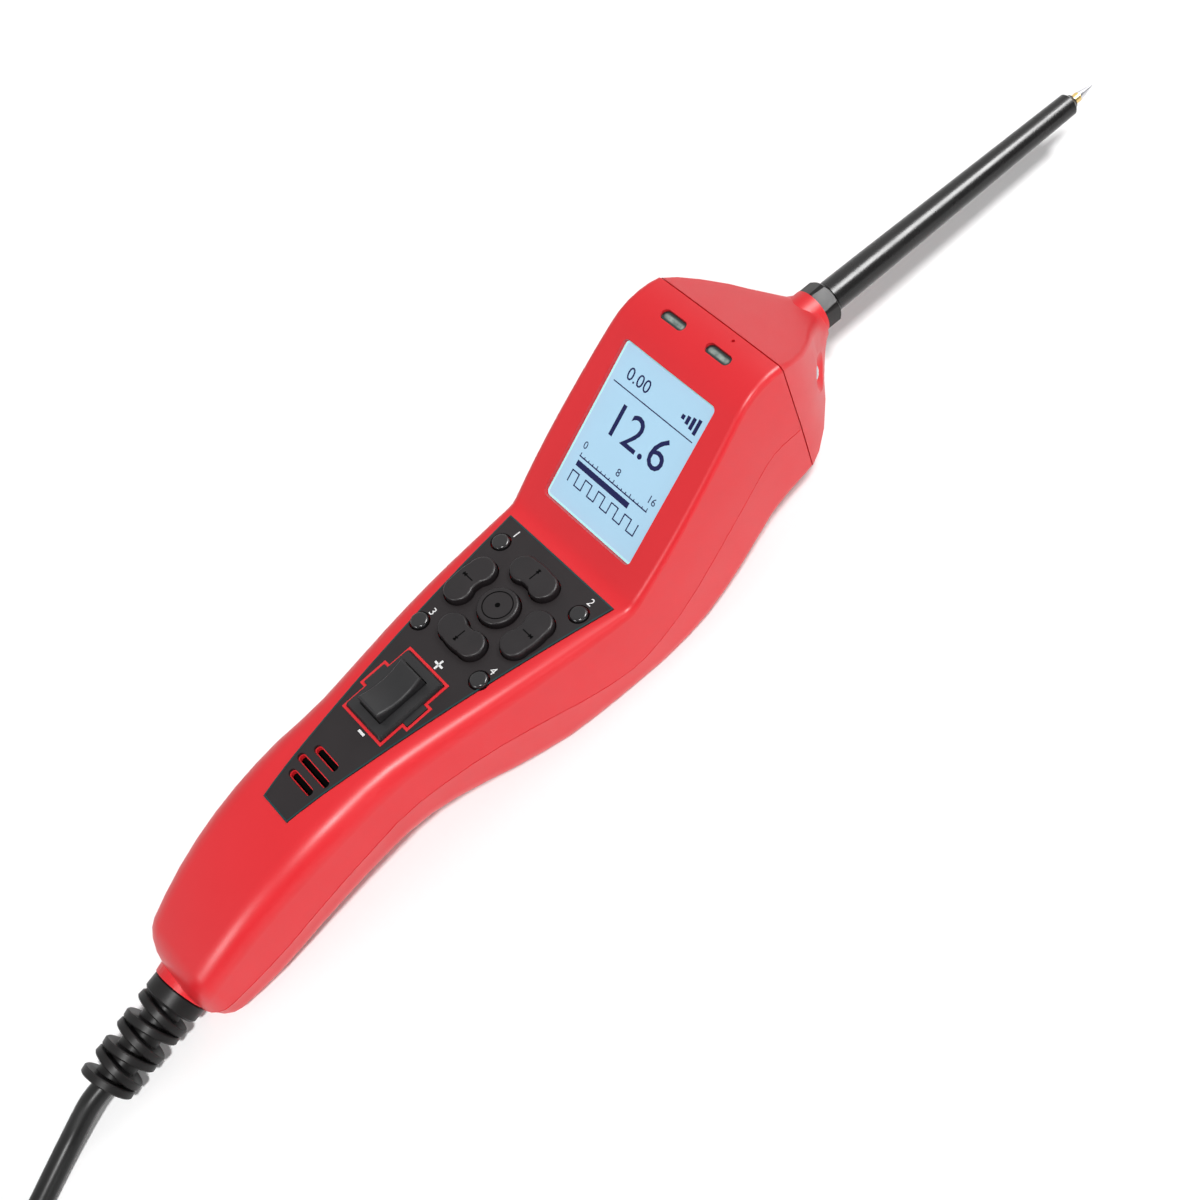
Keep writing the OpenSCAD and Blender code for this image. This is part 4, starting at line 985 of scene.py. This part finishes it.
# %% Edge line of the film
edge_shape = ribbon([(20.28, 21.18), (-74.28, 5.23), (-74.28, -5.23), (20.28, -21.18)], 0.42, 19)
for v in edge_shape.verts:
    v.co.z = (top_line(v.co.x / MM) + FILM_TOP - 0.02) * MM
film_edge = add_piece("film_edge", thickened(edge_shape, 0.06), "film_edge_teal", place=DESIGN,
                      smooth_below=0)
print("film edge faces:", len(film_edge.data.polygons))

# %% [markdown]
# ## Table, light and background
# The photograph is a cut-out on white with a thin soft shadow. The table is a pale floor that looks white to the
# camera, to mirrors and through glass, and still darkens where the tester keeps the light off. A far, sun-like key
# light from near the camera lights the floor evenly and puts the shadow close under the tester. A weak, broad second
# sun from the probe's end brightens the nose, and a weak lamp fills the near side. Two cards, seen only in reflections,
# draw the long streaks on the grip and the probe. The world is white to the camera and dim to everything else, and
# reflections see it grow brighter towards its far side.

# %% Floor
floor_shape = bmesh.new()
bmesh.ops.create_grid(floor_shape, x_segments=1, y_segments=1, size=3)
floor = hang("floor", mesh_of("floor", floor_shape))
floor_paint = bpy.data.materials.new("floor_paint")
floor_paint.use_nodes = True
tree = floor_paint.node_tree
tree.nodes.clear()
paper = node(tree, "ShaderNodeBsdfDiffuse", {"Color": (0.90, 0.90, 0.90, 1)})
seen = node(tree, "ShaderNodeLightPath")
direct = maths(tree, "MAXIMUM", seen["Is Camera Ray"], seen["Is Glossy Ray"])
direct = maths(tree, "MAXIMUM", direct, seen["Is Transmission Ray"])
lift = node(tree, "ShaderNodeEmission", {"Color": (1, 1, 1, 1), "Strength": maths(tree, "MULTIPLY", direct, 0.08)})
both = node(tree, "ShaderNodeAddShader", {0: paper["BSDF"], 1: lift["Emission"]})
node(tree, "ShaderNodeOutputMaterial", {"Surface": both["Shader"]})
floor.data.materials.append(floor_paint)
print("floor made")

# %% World
world = bpy.data.worlds.new("studio")
bpy.context.scene.world = world
world.use_nodes = True
tree = world.node_tree
seen = node(tree, "ShaderNodeLightPath")
sky = node(tree, "ShaderNodeSeparateXYZ", {"Vector": node(tree, "ShaderNodeTexCoord")["Generated"]})
far_side = node(tree, "ShaderNodeMapRange", {"Value": sky["Y"], "From Min": -0.45, "From Max": 0.45,
                                             "To Min": 0.12, "To Max": 1.0}, interpolation_type="SMOOTHSTEP")
mirrored = maths(tree, "MULTIPLY", far_side["Result"], seen["Is Glossy Ray"])
white = maths(tree, "MAXIMUM", seen["Is Camera Ray"], seen["Is Transmission Ray"])
background = tree.nodes["Background"].inputs
background["Color"].default_value = (1, 1, 1, 1)
strength = maths(tree, "MAXIMUM", maths(tree, "MAXIMUM", mirrored, white), 0.25)
tree.links.new(strength, background["Strength"])
print("world made")

# %% Lamps


def lamp(name, kind, place, direction, energy, **settings):
    """A lamp at a place that shines in a direction, in metres and watts."""
    data = bpy.data.lights.new(name, kind)
    data.energy = energy
    for label, value in settings.items():
        setattr(data, label, value)
    aim = Vector(direction).to_track_quat("-Z", "Y").to_matrix().to_4x4()
    return hang(name, data, Matrix.Translation(place) @ aim)


for name, place, target, (length, width), power in (
        ("fill_light", (0.18, -1.12, 0.42), (0, 0, 0.03), (0.5, 0.35), 1.8),
        ("left_card", (-0.98, -0.15, 0.54), (-0.1, 0, 0.03), (0.32, 0.32), 5),
        ("right_card", (0.70, -0.23, 0.83), (0.13, 0, 0.045), (0.50, 0.30), 14)):
    made = lamp(name, "AREA", place, Vector(target) - Vector(place), power,
                shape="RECTANGLE", size=length, size_y=width)
    made.visible_diffuse = name == "fill_light"
for name, strength, spread, direction in (
        ("key_light", 2.70, 5, (0.140, 0.444, -0.889)), ("front_light", 0.50, 30, (-0.80, -0.10, -0.60))):
    lamp(name, "SUN", (0, 0, 0), direction, strength, angle=math.radians(spread))
scene = bpy.context.scene
scene.view_settings.view_transform = "Standard"

# %% The end
print("the end")
